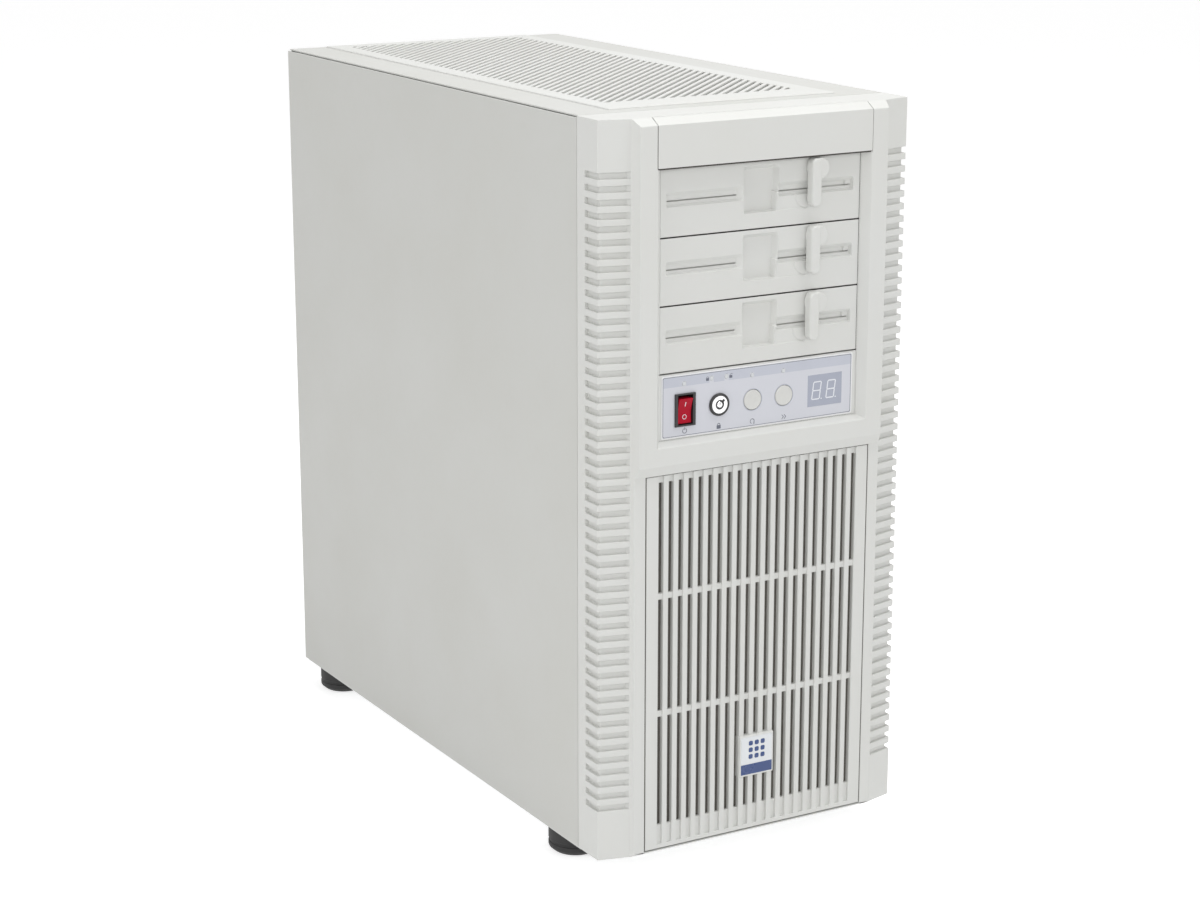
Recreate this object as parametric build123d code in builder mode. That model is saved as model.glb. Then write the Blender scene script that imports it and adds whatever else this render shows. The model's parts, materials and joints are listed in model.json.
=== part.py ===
"""Desktop computer tower: a steel chassis with a plastic front, three 5.25 inch bays and a control panel.

The frame is +Z up with the front facing -Y. The origin is on the ground, in the middle of the width and
of the depth. Heights called h are measured up from the underside of the side panels, and depths called d
are measured back from the raised front face, so a point is (x, front + d, base + h).
"""
import os
from math import cos, radians, sin, tan

from build123d import *

os.makedirs("parts", exist_ok=True)

# Driving dimensions, in millimetres
width = 227.4
body_height = 473.6
rear_plane = 470.8
foot_height = 18.0
base_lip = 2.0
screw_head = 7.2
lever_proud = 1.2
sheet = 1.0
wall = 3.0
gap = 0.3

front = -(rear_plane + screw_head - lever_proud) / 2
base = foot_height + base_lip
half = width / 2

# Front bezel: the plan of the corner, from the side seam to the raised centre
seam = 37.4
corner_x, corner_d = half, 12.4
shoulder_x, shoulder_d = 93.1, 7.1
raised_x = 90.8
bevel_drop = 4.2
comb_count, comb_pitch, comb_slot = 51, 8.09, 4.0
comb_top = 441.8
comb_depth, comb_back = 6.0, 28.0
liner = 8.0

# Three 5.25 inch bays and the control panel share one column of four equal pitches
bay_pitch = 42.4
bay_top = 442.0
bay_half = 73.8
recess_half = 78.45
recess = 5.9
cover_d = 6.0
bay_gap = 0.4

# Lower grille
grille_half, grille_low, grille_high = 83.3, 3.3, 251.0
grille_d, grille_thick = 3.8, 3.6
filter_back = 8.5
slot_count, slot_pitch, slot_wide = 22, 7.27, 3.6
ledge_low, ledge_high = 252.0, 258.0

# Chassis
inner_half = 110.2
flange = 13.0
plate_d = 37.9
rear_d = 468.6
frame_h = 471.6
tray_x = 88.0
board_x = 81.8
fan_size, fan_thick, fan_hole = 120.0, 25.0, 105.0
fan_heights = (65.0, 190.0)
rear_fan = (-35.0, 380.0)
screw_heights = (110.0, 360.0)
slot_h, slot_step, slots = 262.0, 20.32, 7

# Controls, each at (x, h)
control_h = 291.3
switch_at = (-55.0, 291.0)
lock_at = (-30.0, control_h)
button_xs = (("reset_button", -5.0), ("turbo_button", 18.5))
window = (36.8, 63.0, 281.2, 301.8)
led_at = ((-55.6, 307.5), (-35.5, 308.7), (-24.5, 308.7), (-5.5, 307.3), (18.0, 307.3))

TURN = {"x": (0, 90, 0), "y": (90, 0, 0), "z": (0, 0, 0)}
SIDES = (-1, 1)


def block(x0, x1, d0, d1, h0, h1, mode=Mode.ADD):
    """A box between two widths, two depths and two heights."""
    with Locations(((x0 + x1) / 2, front + (d0 + d1) / 2, base + (h0 + h1) / 2)):
        Box(abs(x1 - x0), abs(d1 - d0), abs(h1 - h0), mode=mode)


def rod(axis, x, d, h, radius, length, mode=Mode.ADD):
    """A round bar centred on a point and lying along one axis."""
    with Locations((x, front + d, base + h)):
        Cylinder(radius, length, rotation=TURN[axis], mode=mode)


def facing(d):
    """The upright plane at depth d, seen from the front: local x is the width and local y the height."""
    return Plane(origin=(0, front + d, base), x_dir=(1, 0, 0), z_dir=(0, -1, 0))


def side_profile(points, x0, x1, mode=Mode.ADD):
    """A (d, h) outline extruded across the width from x0 to x1."""
    plane = Plane(origin=(x0, front, base), x_dir=(0, 1, 0), z_dir=(1, 0, 0))
    with BuildSketch(plane) as outline:
        with BuildLine():
            Polyline(*points, close=True)
        make_face()
    extrude(outline.sketch, amount=x1 - x0, mode=mode)


def plan_profile(points, h0, h1, mode=Mode.ADD):
    """An (x, d) outline extruded upward from h0 to h1."""
    with BuildSketch(Plane(origin=(0, front, base + h0), x_dir=(1, 0, 0), z_dir=(0, 0, 1))) as outline:
        with BuildLine():
            Polyline(*points, close=True)
        make_face()
    extrude(outline.sketch, amount=h1 - h0, mode=mode)


def mirrored(points):
    """A half outline followed by its mirror image across the middle of the width."""
    return list(points) + [(-x, d) for x, d in reversed(points)]


def save(builder, name):
    """Label a finished sub-part and write its STEP file."""
    builder.part.label = name
    export_step(builder.part, f"parts/{name}.step")


def ring_slots(centre, outer, pitch=7.0, opening=5.0, spoke=4.0):
    """Concentric ring slots with a cross of spokes, added to the sketch in progress."""
    rings = int((outer - 12.0) // pitch)
    with Locations(centre):
        for ring in range(rings):
            radius = outer - ring * pitch
            Circle(radius)
            Circle(radius - opening, mode=Mode.SUBTRACT)
            if ring < rings - 1:
                Circle(radius - pitch)
        Circle(outer - (rings - 1) * pitch - opening, mode=Mode.SUBTRACT)
        Rectangle(2 * outer, spoke, mode=Mode.SUBTRACT)
        Rectangle(spoke, 2 * outer, mode=Mode.SUBTRACT)


def fan_frame(plane, size=fan_size, thick=fan_thick, hole=fan_hole):
    """A square axial fan frame on a plane: duct, corner holes, motor cup and four struts."""
    duct = size / 2 - 3.0
    with BuildPart() as frame:
        with BuildSketch(plane):
            RectangleRounded(size, size, 5.0)
            Circle(duct, mode=Mode.SUBTRACT)
            with GridLocations(hole, hole, 2, 2):
                Circle(2.2, mode=Mode.SUBTRACT)
        extrude(amount=thick)
        with BuildSketch(plane):
            Circle(size * 0.16)
            with PolarLocations(0, 4, 45):
                with Locations((size * 0.3, 0)):
                    Rectangle(size * 0.42, 4.0)
        extrude(amount=3.0)
        with BuildSketch(plane.offset(3.0)):
            Circle(3.0)
        extrude(amount=1.6)
    return frame


def fan_rotor(plane, size=fan_size, thick=fan_thick, blades=9):
    """A fan rotor: a hub cap and pitched blades, running clear of its frame."""
    hub = size * 0.16
    tip = size / 2 - 5.0
    middle = plane.offset(5.6 + (thick - 6.6) / 2)
    chord = (thick - 8.0) / sin(radians(48))
    blade_planes = []
    for number in range(blades):
        angle = radians(360 * number / blades)
        out = middle.x_dir * cos(angle) + middle.y_dir * sin(angle)
        root = middle.origin + out * (hub - 2.0)
        blade_planes.append(Plane(origin=root, x_dir=middle.z_dir, z_dir=out))
    with BuildPart() as rotor:
        with BuildSketch(plane.offset(5.0)):
            Circle(hub)
        extrude(amount=thick - 6.0)
        with BuildSketch(*blade_planes):
            Rectangle(chord, 1.8, rotation=42)
        extrude(amount=tip - hub + 2.0)
    return rotor


# ---- Sheet-metal chassis ------------------------------------------------------------------------

psu_box = (-65.0, 85.0, rear_d - 140.0, rear_d, 1.0, 87.0)
psu_x = (psu_box[0] + psu_box[1]) / 2
psu_d = (psu_box[2] + psu_box[3]) / 2
foot_x, foot_ds = half - 22.0, (80.0, 447.0)
lip_half = half - 2.2

with BuildPart() as base_pan:
    block(-lip_half, lip_half, plate_d, rear_d, -base_lip, -base_lip + sheet)
    for side in SIDES:
        block(side * lip_half, side * (lip_half - sheet), plate_d, rear_d, -base_lip + sheet, flange)
        for d in foot_ds:
            rod("z", side * foot_x, d, -base_lip, 2.6, 6.0, Mode.SUBTRACT)
    with BuildSketch(Plane(origin=(psu_x, front + psu_d, base - base_lip), z_dir=(0, 0, 1))):
        ring_slots((0, 0), 60.0)
    extrude(amount=sheet, mode=Mode.SUBTRACT)
save(base_pan, "base_pan")

with BuildPart() as front_plate:
    block(-inner_half, inner_half, plate_d, plate_d + sheet, -base_lip + sheet, frame_h)
    for side in SIDES:
        block(side * inner_half, side * (inner_half - sheet), plate_d + sheet, plate_d + flange,
              -base_lip + sheet, frame_h)
    block(-75.6, 75.6, plate_d, plate_d + sheet, 270.8, 444.4, Mode.SUBTRACT)
    for h in fan_heights:
        rod("y", 0, plate_d, h, fan_size / 2 - 3, 6.0, Mode.SUBTRACT)
        with BuildSketch(facing(plate_d + sheet)):
            with Locations((0, h)):
                with GridLocations(fan_hole, fan_hole, 2, 2):
                    Circle(2.2)
        extrude(amount=sheet, mode=Mode.SUBTRACT)
save(front_plate, "front_plate")

io_window = (33.0, 78.0, 275.0, 434.0)
bracket = (-42.0, 79.0)

with BuildPart() as rear_panel:
    block(-lip_half, lip_half, rear_d, rear_d + sheet, -base_lip, frame_h + sheet)
    block(io_window[0], io_window[1], rear_d, rear_d + sheet, io_window[2], io_window[3], Mode.SUBTRACT)
    block(psu_box[0] + 6, psu_box[1] - 6, rear_d, rear_d + sheet, psu_box[4] + 6, psu_box[5] - 6,
          Mode.SUBTRACT)
    for number in range(slots):
        h = slot_h - number * slot_step
        block(-28, 66, rear_d, rear_d + sheet, h - 6.4, h + 6.4, Mode.SUBTRACT)
    with BuildSketch(facing(rear_d + sheet)):
        ring_slots(rear_fan, 56.0)
        with Locations(rear_fan):
            with GridLocations(fan_hole, fan_hole, 2, 2):
                Circle(2.2)
        for h in screw_heights:
            with Locations((-half + 7.2, h), (half - 7.2, h)):
                Circle(2.2)
    extrude(amount=sheet, mode=Mode.SUBTRACT)
save(rear_panel, "rear_panel")

with BuildPart() as motherboard_tray:
    block(tray_x, tray_x + sheet, 212, rear_d, -base_lip + sheet, frame_h)
    block(tray_x, tray_x + sheet, 300, 362, 340, 405, Mode.SUBTRACT)
    block(tray_x, inner_half - sheet, 212, 212 + sheet, -base_lip + sheet, frame_h)
    for h in (60.0, 250.0, 420.0):
        block(tray_x, tray_x + sheet, 226, 240, h - 20, h + 20, Mode.SUBTRACT)
save(motherboard_tray, "motherboard_tray")

vent_half, vent_front, vent_back = 84.0, 50.3, 467.8

with BuildPart() as top_frame:
    block(-inner_half, inner_half, plate_d, rear_d, frame_h, frame_h + sheet)
    block(-76, 76, 72, 262, frame_h, frame_h + sheet, Mode.SUBTRACT)
    block(-76, 76, 270, 458, frame_h, frame_h + sheet, Mode.SUBTRACT)
save(top_frame, "top_frame")

cage_low = bay_top - 4 * bay_pitch - 1.0

with BuildPart() as bay_cage:
    for side in SIDES:
        block(side * 74.6, side * 75.6, plate_d, 195, cage_low, 443.4)
        for bay in range(3):
            middle = bay_top - bay_pitch * (bay + 0.5)
            for d in (85.0, 150.0):
                block(side * 74.6, side * 75.6, d - 14, d + 14, middle - 10, middle - 4, Mode.SUBTRACT)
    block(-74.6, 74.6, plate_d, 195, cage_low, cage_low + sheet)
save(bay_cage, "bay_cage")

drive_low, drive_step = 5.8, 40.0

with BuildPart() as drive_cage:
    block(-54, 54, 60, 208, -base_lip + sheet, 0.4)
    block(-54, 54, 60, 208, 84, 85)
    for side in SIDES:
        block(side * 53, side * 54, 60, 208, 0.4, 84)
        for number in range(2):
            h = drive_low + number * drive_step
            block(side * 45, side * 53, 64, 204, h - 1.2, h)
            block(side * 53, side * 54, 90, 178, h + 4, h + 18, Mode.SUBTRACT)
save(drive_cage, "drive_cage")

# ---- Outer panels -------------------------------------------------------------------------------

with BuildPart() as top_cover:
    block(-half + 1.3, half - 1.3, seam + gap, rear_d + sheet, frame_h + sheet, body_height)
    block(-vent_half - gap, vent_half + gap, vent_front - gap, vent_back + gap, frame_h + sheet,
          body_height, Mode.SUBTRACT)
save(top_cover, "top_cover")

field_half, field_front, field_back = 71.0, 77.0, 455.0
rib_period, rib_slot = 5.6, 2.8
field_d = (field_front + field_back) / 2
rib_count = 67

with BuildPart() as top_vent_panel:
    block(-vent_half, vent_half, vent_front, vent_back, frame_h + sheet + gap, body_height + 0.8)
    edges = top_vent_panel.edges().group_by(Axis.Z)[-1]
    chamfer(edges, 0.5)
    with BuildSketch(Plane(origin=(0, front + field_d, base + body_height + 0.8), z_dir=(0, 0, -1))):
        for number in range(rib_count):
            step = (number - (rib_count - 1) / 2) * rib_period / sin(radians(45))
            with Locations((0, step)):
                Rectangle(400, rib_slot, rotation=-45)
        Rectangle(2 * field_half, field_back - field_front, mode=Mode.INTERSECT)
    extrude(amount=4.0, mode=Mode.SUBTRACT)
save(top_vent_panel, "top_vent_panel")

with BuildPart() as top_dust_filter:
    block(-75, 75, 73, 261, frame_h, frame_h + 1.1)
    block(-75, 75, 271, 457, frame_h, frame_h + 1.1)
    block(-75, 75, 261, 271, frame_h + sheet, frame_h + 1.1)
save(top_dust_filter, "top_dust_filter")


def side_panel(side):
    """A painted side panel with folded hems and a rear lip for its thumbscrews."""
    outer, inner, hem = side * half, side * (half - sheet), side * (half - 1.8)
    with BuildPart() as panel:
        block(outer, inner, seam + gap, rear_plane, 0, 472.2)
        block(inner, hem, seam + gap, 455, 0, 12)
        block(inner, hem, seam + gap, 455, 460.2, 472.2)
        block(inner, hem, seam + gap, 47, 12, 460.2)
        block(inner, side * (half - 13), rear_plane - 0.9, rear_plane, 4, 468)
        for h in screw_heights:
            rod("y", side * (half - 7.2), rear_plane, h, 2.1, 6.0, Mode.SUBTRACT)
    return panel


def thumbscrews(side):
    """The two captive knurled screws of one side panel."""
    with BuildPart() as screws:
        for h in screw_heights:
            rod("y", side * (half - 7.2), rear_plane + screw_head / 2, h, 5.2, screw_head)
            rod("y", side * (half - 7.2), rear_plane - 2.5, h, 1.6, 5.0)
    return screws


for side, hand in ((-1, "left"), (1, "right")):
    save(side_panel(side), f"{hand}_side_panel")
    save(thumbscrews(side), f"{hand}_thumbscrews")

with BuildPart() as feet:
    for side in SIDES:
        for d in foot_ds:
            with BuildSketch(Plane(origin=(side * foot_x, front + d, 0), z_dir=(0, 0, 1))):
                Circle(15.0)
            with BuildSketch(Plane(origin=(side * foot_x, front + d, 3.0), z_dir=(0, 0, 1))):
                Circle(18.0)
            loft()
            rod("z", side * foot_x, d, (3.0 + foot_height) / 2 - base, 18.0, foot_height - 3.0)
            rod("z", side * foot_x, d, 5.0 - base, 5.5, 10.0, Mode.SUBTRACT)
            rod("z", side * foot_x, d, 12.0 - base, 2.6, 16.0, Mode.SUBTRACT)
save(feet, "feet")

with BuildPart() as foot_screws:
    for side in SIDES:
        for d in foot_ds:
            rod("z", side * foot_x, d, 8.5 - base, 4.5, 3.0)
            rod("z", side * foot_x, d, 17.0 - base, 2.0, 14.0)
save(foot_screws, "foot_screws")

# ---- Front bezel --------------------------------------------------------------------------------

recess_low, recess_high = bay_top - 4 * bay_pitch, bay_top
pocket_half, pocket_low, pocket_d = recess_half + 0.35, 444.3, 8.9
hinge_d, hinge_h, hinge_r, pin_r = 7.4, 471.2, 2.4, 1.0
skin_d = 6.8

with BuildPart() as front_bezel:
    outline = [(corner_x, seam), (corner_x, corner_d), (shoulder_x, shoulder_d), (raised_x, 0)]
    plan_profile(mirrored(outline), 0, body_height)
    cavity = [(half - wall, seam), (half - wall, 18.5), (half - liner, 18.5), (91.1, 14.8), (87.5, 14.8),
              (87.5, skin_d)]
    plan_profile(mirrored(cavity), wall, body_height - wall, Mode.SUBTRACT)
    for side in SIDES:
        block(side * (half - liner), side * (half - liner - 1.2), 17, 33, wall, body_height - wall)
    block(-82, 82, skin_d, 12, recess_low - wall, body_height - wall)
    side_profile([(-1, -1), (grille_d, -1), (grille_d, ledge_low), (0, ledge_high), (-1, ledge_high)],
                 -half, half, Mode.SUBTRACT)
    side_profile([(-1, body_height), (-1, body_height - bevel_drop), (0, body_height - bevel_drop),
                  (shoulder_d, body_height)], -half, half, Mode.SUBTRACT)
    side_profile([(-1, 0), (-1, bevel_drop), (0, bevel_drop), (shoulder_d, 0)], -half, half, Mode.SUBTRACT)
    block(-84, 84, -1, skin_d + 0.1, grille_low - 1, grille_high + 0.7, Mode.SUBTRACT)
    # bay recess: a mouth that narrows to the covers, then a straight opening
    with BuildSketch(facing(recess)):
        with Locations((0, (recess_low + recess_high) / 2)):
            Rectangle(2 * bay_half, recess_high - recess_low)
    with BuildSketch(facing(0)):
        with Locations((0, (recess_low - 2.6 + recess_high + 1.3) / 2)):
            Rectangle(2 * recess_half, recess_high - recess_low + 3.9)
    loft(mode=Mode.SUBTRACT)
    block(-bay_half - gap, bay_half + gap, recess - 0.1, 13, recess_low - 0.1, recess_high + gap,
          Mode.SUBTRACT)
    # pocket of the top flap, with the hinge bore at its ends
    block(-pocket_half, pocket_half, -1, pocket_d, pocket_low, body_height + 1, Mode.SUBTRACT)
    block(-pocket_half, pocket_half, -1, 3.2, recess_high + 0.95, pocket_low, Mode.SUBTRACT)
    block(-pocket_half, pocket_half, -1, hinge_d + hinge_r + 0.35, hinge_h - hinge_r - 0.4,
          body_height + 1, Mode.SUBTRACT)
    rod("x", 0, hinge_d, hinge_h, pin_r, 163.0, Mode.SUBTRACT)
    block(-44, 44, pocket_d - 0.1, 13, 449, 464, Mode.SUBTRACT)
    # corner combs: slots that wrap round the edge from the chamfer to the side
    comb_planes = []
    for number in range(comb_count):
        comb_h = base + comb_top - comb_slot - number * comb_pitch
        comb_planes.append(Plane(origin=(0, front, comb_h), x_dir=(1, 0, 0), z_dir=(0, 0, 1)))
    floor = half - comb_depth
    for side in SIDES:
        with BuildSketch(*comb_planes):
            with BuildLine():
                Polyline((side * (half + 1), comb_back), (side * (half + 1), corner_d - 1),
                         (side * (shoulder_x + 0.2), shoulder_d - 1), (side * (shoulder_x + 0.2), 13.2),
                         (side * floor, 16.95), (side * floor, comb_back), close=True)
            make_face()
        extrude(amount=comb_slot, mode=Mode.SUBTRACT)
        for h in (60.0, 236.0, 452.0):
            block(side * (half - wall), side * (half - 14), 30, plate_d, h - 8, h + 8)
save(front_bezel, "front_bezel")

with BuildPart() as front_grille:
    block(-grille_half, grille_half, grille_d, grille_d + grille_thick, grille_low, grille_high)
    bays = ((19.0, 92.5), (96.5, 170.5), (174.5, 246.5))
    for low, high in bays:
        with BuildSketch(facing(grille_d + grille_thick)):
            with Locations((0, (low + high) / 2)):
                with GridLocations(slot_pitch, 0, slot_count - 1, 1):
                    Rectangle(slot_wide, high - low)
        extrude(amount=grille_thick, mode=Mode.SUBTRACT)
    shallow = ((6.0, 19.0, 1.5), (92.5, 96.5, 1.0), (170.5, 174.5, 1.0), (246.5, grille_high, 1.5))
    for low, high, depth in shallow:
        with BuildSketch(facing(grille_d + depth)):
            with Locations((0, (low + high) / 2)):
                with GridLocations(slot_pitch, 0, slot_count - 1, 1):
                    Rectangle(slot_wide, high - low)
        extrude(amount=depth, mode=Mode.SUBTRACT)
    for side in SIDES:
        for h in (40.0, 215.0):
            block(side * 79, side * 82, grille_d + grille_thick, 12.6, h - 6, h + 6)
    block(-13.2, 13.2, grille_d, grille_d + grille_thick, 40, 68)
save(front_grille, "front_grille")

with BuildPart() as front_dust_filter:
    block(-78, 78, grille_d + grille_thick, filter_back, 16, 248)
save(front_dust_filter, "front_dust_filter")

with BuildPart() as badge:
    block(-13, 13, grille_d - 1.4, grille_d, 40, 68)
    chamfer(badge.edges().group_by(Axis.Y)[0], 0.4)
save(badge, "badge")

with BuildPart() as top_flap:
    rise = body_height - bevel_drop
    side_profile([(0, 443.3), (0, rise), (shoulder_d, body_height), (hinge_d, body_height),
                  (hinge_d, hinge_h - hinge_r), (6.2, 469.0), (2.6, 466.6), (2.6, 443.3)],
                 -recess_half, recess_half)
    rod("x", 0, hinge_d, hinge_h, hinge_r, 2 * recess_half)
    rod("x", 0, hinge_d, hinge_h, pin_r + 0.05, 2 * recess_half, Mode.SUBTRACT)
save(top_flap, "top_flap")

with BuildPart() as flap_hinge_pins:
    for side in SIDES:
        rod("x", side * 76.5, hinge_d, hinge_h, pin_r, 10.0)
save(flap_hinge_pins, "flap_hinge_pins")

with BuildPart() as io_module:
    block(-43.6, 43.6, 9.4, 11.4, 449.4, 463.6)
    for x in (-30.0, -10.0):
        block(x - 7.2, x + 7.2, 8.9, 24, 453, 460)
        block(x - 6.2, x + 6.2, 8.9, 20, 454, 459, Mode.SUBTRACT)
        block(x - 5.4, x + 5.4, 10, 20, 457, 458.6)
    block(4.4, 13.6, 8.9, 24, 454.7, 458.3)
    block(5.2, 12.8, 8.9, 16, 455.5, 457.5, Mode.SUBTRACT)
    for x in (24.0, 37.0):
        rod("y", x, 16.4, 456.5, 3.6, 15.0)
        rod("y", x, 12.9, 456.5, 1.8, 12.0, Mode.SUBTRACT)
    block(-43.6, 43.6, 22, 23.6, 447, 466)
save(io_module, "io_module")

# ---- Drive bay covers and their levers ----------------------------------------------------------

pivot_x, pivot_rise, pivot_r = 39.5, 14.0, 2.0


def bay_cover(middle):
    """A blank bay cover: two grooves, a two-step finger scoop, side clips and the lever's pivot hole."""
    with BuildPart() as cover:
        low, high = middle - bay_pitch / 2 + bay_gap, middle + bay_pitch / 2 - bay_gap
        block(-bay_half, bay_half, cover_d, cover_d + wall, low, high)
        block(-16, 16, cover_d + wall, cover_d + 6, middle - 12.5, middle + 19.5)
        block(-13, 12.5, cover_d, cover_d + 4, middle + 5.2, middle + 18.2, Mode.SUBTRACT)
        block(-12.5, 10.5, cover_d, cover_d + 4, middle - 10.8, middle + 1.2, Mode.SUBTRACT)
        block(-69, -15, cover_d, cover_d + 1.6, middle - 2.5, middle + 6.2, Mode.SUBTRACT)
        block(14, 68.5, cover_d, cover_d + 1.6, middle - 2.3, middle + 6.2, Mode.SUBTRACT)
        block(-68, -18, cover_d, cover_d + wall, middle + 0.3, middle + 1.9, Mode.SUBTRACT)
        rod("y", pivot_x, cover_d, middle + pivot_rise, pivot_r + 0.06, 12.0, Mode.SUBTRACT)
        for side in SIDES:
            block(side * bay_half, side * (bay_half - 1.5), cover_d + wall, 26, middle - 9, middle + 9)
    return cover


def bay_lever(middle):
    """An eject lever at rest: a round cap on a pin, with an arm hanging from its left side."""
    with BuildPart() as lever:
        rod("y", pivot_x, (5.6 - lever_proud) / 2, middle + pivot_rise, 6.7, 5.6 + lever_proud)
        block(pivot_x - 6.6, pivot_x + 0.8, -lever_proud + 0.8, 5.6, middle - 9.8, middle + pivot_rise)
        rod("y", pivot_x, 8.4, middle + pivot_rise, pivot_r, 6.0)
        rod("y", pivot_x, 10.9, middle + pivot_rise, 3.4, 1.6)
    return lever


for number in range(3):
    bay_middle = bay_top - bay_pitch * (number + 0.5)
    save(bay_cover(bay_middle), f"bay_cover_{number + 1}")
    save(bay_lever(bay_middle), f"bay_lever_{number + 1}")

# ---- Control panel ------------------------------------------------------------------------------

panel_low, panel_high = recess_low + bay_gap, bay_top - 3 * bay_pitch - bay_gap


def control_holes():
    """The openings of the control panel, in the sketch in progress."""
    with Locations(switch_at):
        Rectangle(14.0, 20.4, mode=Mode.SUBTRACT)
    with Locations(lock_at):
        Circle(7.0, mode=Mode.SUBTRACT)
    for _, x in button_xs:
        with Locations((x, control_h)):
            Circle(6.8, mode=Mode.SUBTRACT)
    with Locations(((window[0] + window[1]) / 2, (window[2] + window[3]) / 2)):
        Rectangle(window[1] - window[0], window[3] - window[2], mode=Mode.SUBTRACT)
    with Locations(*led_at):
        Circle(1.5, mode=Mode.SUBTRACT)


with BuildPart() as control_panel:
    with BuildSketch(facing(cover_d + wall)):
        with Locations((0, (panel_low + panel_high) / 2)):
            Rectangle(2 * bay_half, panel_high - panel_low)
        control_holes()
    extrude(amount=wall)
    for side in SIDES:
        block(side * bay_half, side * (bay_half - 1.5), cover_d + wall, 26, 284, 302)
save(control_panel, "control_panel")

with BuildPart() as control_overlay:
    with BuildSketch(facing(cover_d)):
        with Locations((-0.5, 293.5)):
            RectangleRounded(143.0, 40.0, 1.0)
        control_holes()
    extrude(amount=0.25)
save(control_overlay, "control_overlay")

switch_x, switch_h = switch_at
rocker_d, rocker_tilt = 10.4, 8.0

with BuildPart() as power_switch_housing:
    block(switch_x - 7.5, switch_x + 7.5, 4.6, cover_d - 0.25, switch_h - 10.5, switch_h + 10.5)
    block(switch_x - 7.0, switch_x + 7.0, cover_d - 0.25, 24, switch_h - 10.2, switch_h + 10.2)
    block(switch_x - 5.4, switch_x + 5.4, 4.0, 19, switch_h - 9.4, switch_h + 9.4, Mode.SUBTRACT)
    rod("x", switch_x, rocker_d, switch_h, 1.06, 12.6, Mode.SUBTRACT)
save(power_switch_housing, "power_switch_housing")

with BuildPart() as power_rocker:
    pivot = Plane(origin=(switch_x - 5.0, front + rocker_d, base + switch_h), x_dir=(0, 1, 0),
                  z_dir=(1, 0, 0)).rotated((rocker_tilt, 0, 0))
    with BuildSketch(pivot):
        with BuildLine():
            Polyline((-5.8, -8.2), (-4.5, 0), (-5.8, 8.2), (2.2, 6.8), (4.6, 0), (2.2, -6.8), close=True)
        make_face()
    extrude(amount=10.0)
    rod("x", switch_x, rocker_d, switch_h, 1.0, 12.4)
save(power_rocker, "power_rocker")

lock_x, lock_h = lock_at

with BuildPart() as lock_barrel:
    rod("y", lock_x, 5.1, lock_h, 7.25, 1.3)
    rod("y", lock_x, 15.75, lock_h, 6.9, 20.0)
    rod("y", lock_x, 14.0, lock_h, 3.06, 30.0, Mode.SUBTRACT)
save(lock_barrel, "lock_barrel")

with BuildPart() as lock_cylinder:
    rod("y", lock_x, 15.4, lock_h, 3.0, 22.4)
    block(lock_x - 0.6, lock_x + 0.6, 4.2, 9, lock_h - 2.2, lock_h + 2.2, Mode.SUBTRACT)
    block(lock_x - 3.0, lock_x + 3.0, 26.2, 27.8, lock_h - 3.0, lock_h + 16.0)
save(lock_cylinder, "lock_cylinder")

for button_name, button_x in button_xs:
    with BuildPart() as button:
        rod("y", button_x, 7.2, control_h, 6.5, 4.0)
        rod("y", button_x, 12.6, control_h, 1.5, 7.2)
        fillet(button.edges().group_by(Axis.Y)[0], 0.6)
    save(button, button_name)

with BuildPart() as display_window:
    block(window[0], window[1], 5.7, 6.9, window[2], window[3])
    block(window[0] + 0.8, window[1] - 0.8, 6.9, 19.8, window[2] + 0.8, window[3] - 0.8)
save(display_window, "display_window")

with BuildPart() as led_lenses:
    for x, h in led_at:
        rod("y", x, 8.9, h, 1.4, 6.6)
save(led_lenses, "led_lenses")

with BuildPart() as control_board:
    block(-16, 70, 19.8, 21.4, 274.5, 310)
    for _, x in button_xs:
        block(x - 3, x + 3, 14.4, 19.8, control_h - 3, control_h + 3)
        rod("y", x, 16.4, control_h, 1.7, 4.4, Mode.SUBTRACT)
    for side in SIDES:
        block(27 + side * 40, 27 + side * 42, 9.0, 19.8, 275, 278)
save(control_board, "control_board")

# ---- Fans ---------------------------------------------------------------------------------------

for fan_name, h in zip(("lower", "upper"), fan_heights):
    fan_plane = Plane(origin=(0, front + plate_d, base + h), x_dir=(1, 0, 0), z_dir=(0, -1, 0))
    save(fan_frame(fan_plane), f"front_fan_frame_{fan_name}")
    save(fan_rotor(fan_plane), f"front_fan_rotor_{fan_name}")

rear_plane_fan = Plane(origin=(rear_fan[0], front + rear_d, base + rear_fan[1]), x_dir=(1, 0, 0),
                       z_dir=(0, -1, 0))
save(fan_frame(rear_plane_fan), "rear_fan_frame")
save(fan_rotor(rear_plane_fan), "rear_fan_rotor")

# ---- Power supply -------------------------------------------------------------------------------

inlet_x, psu_switch_x, inlet_h = 52.0, 20.0, 60.0

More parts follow.
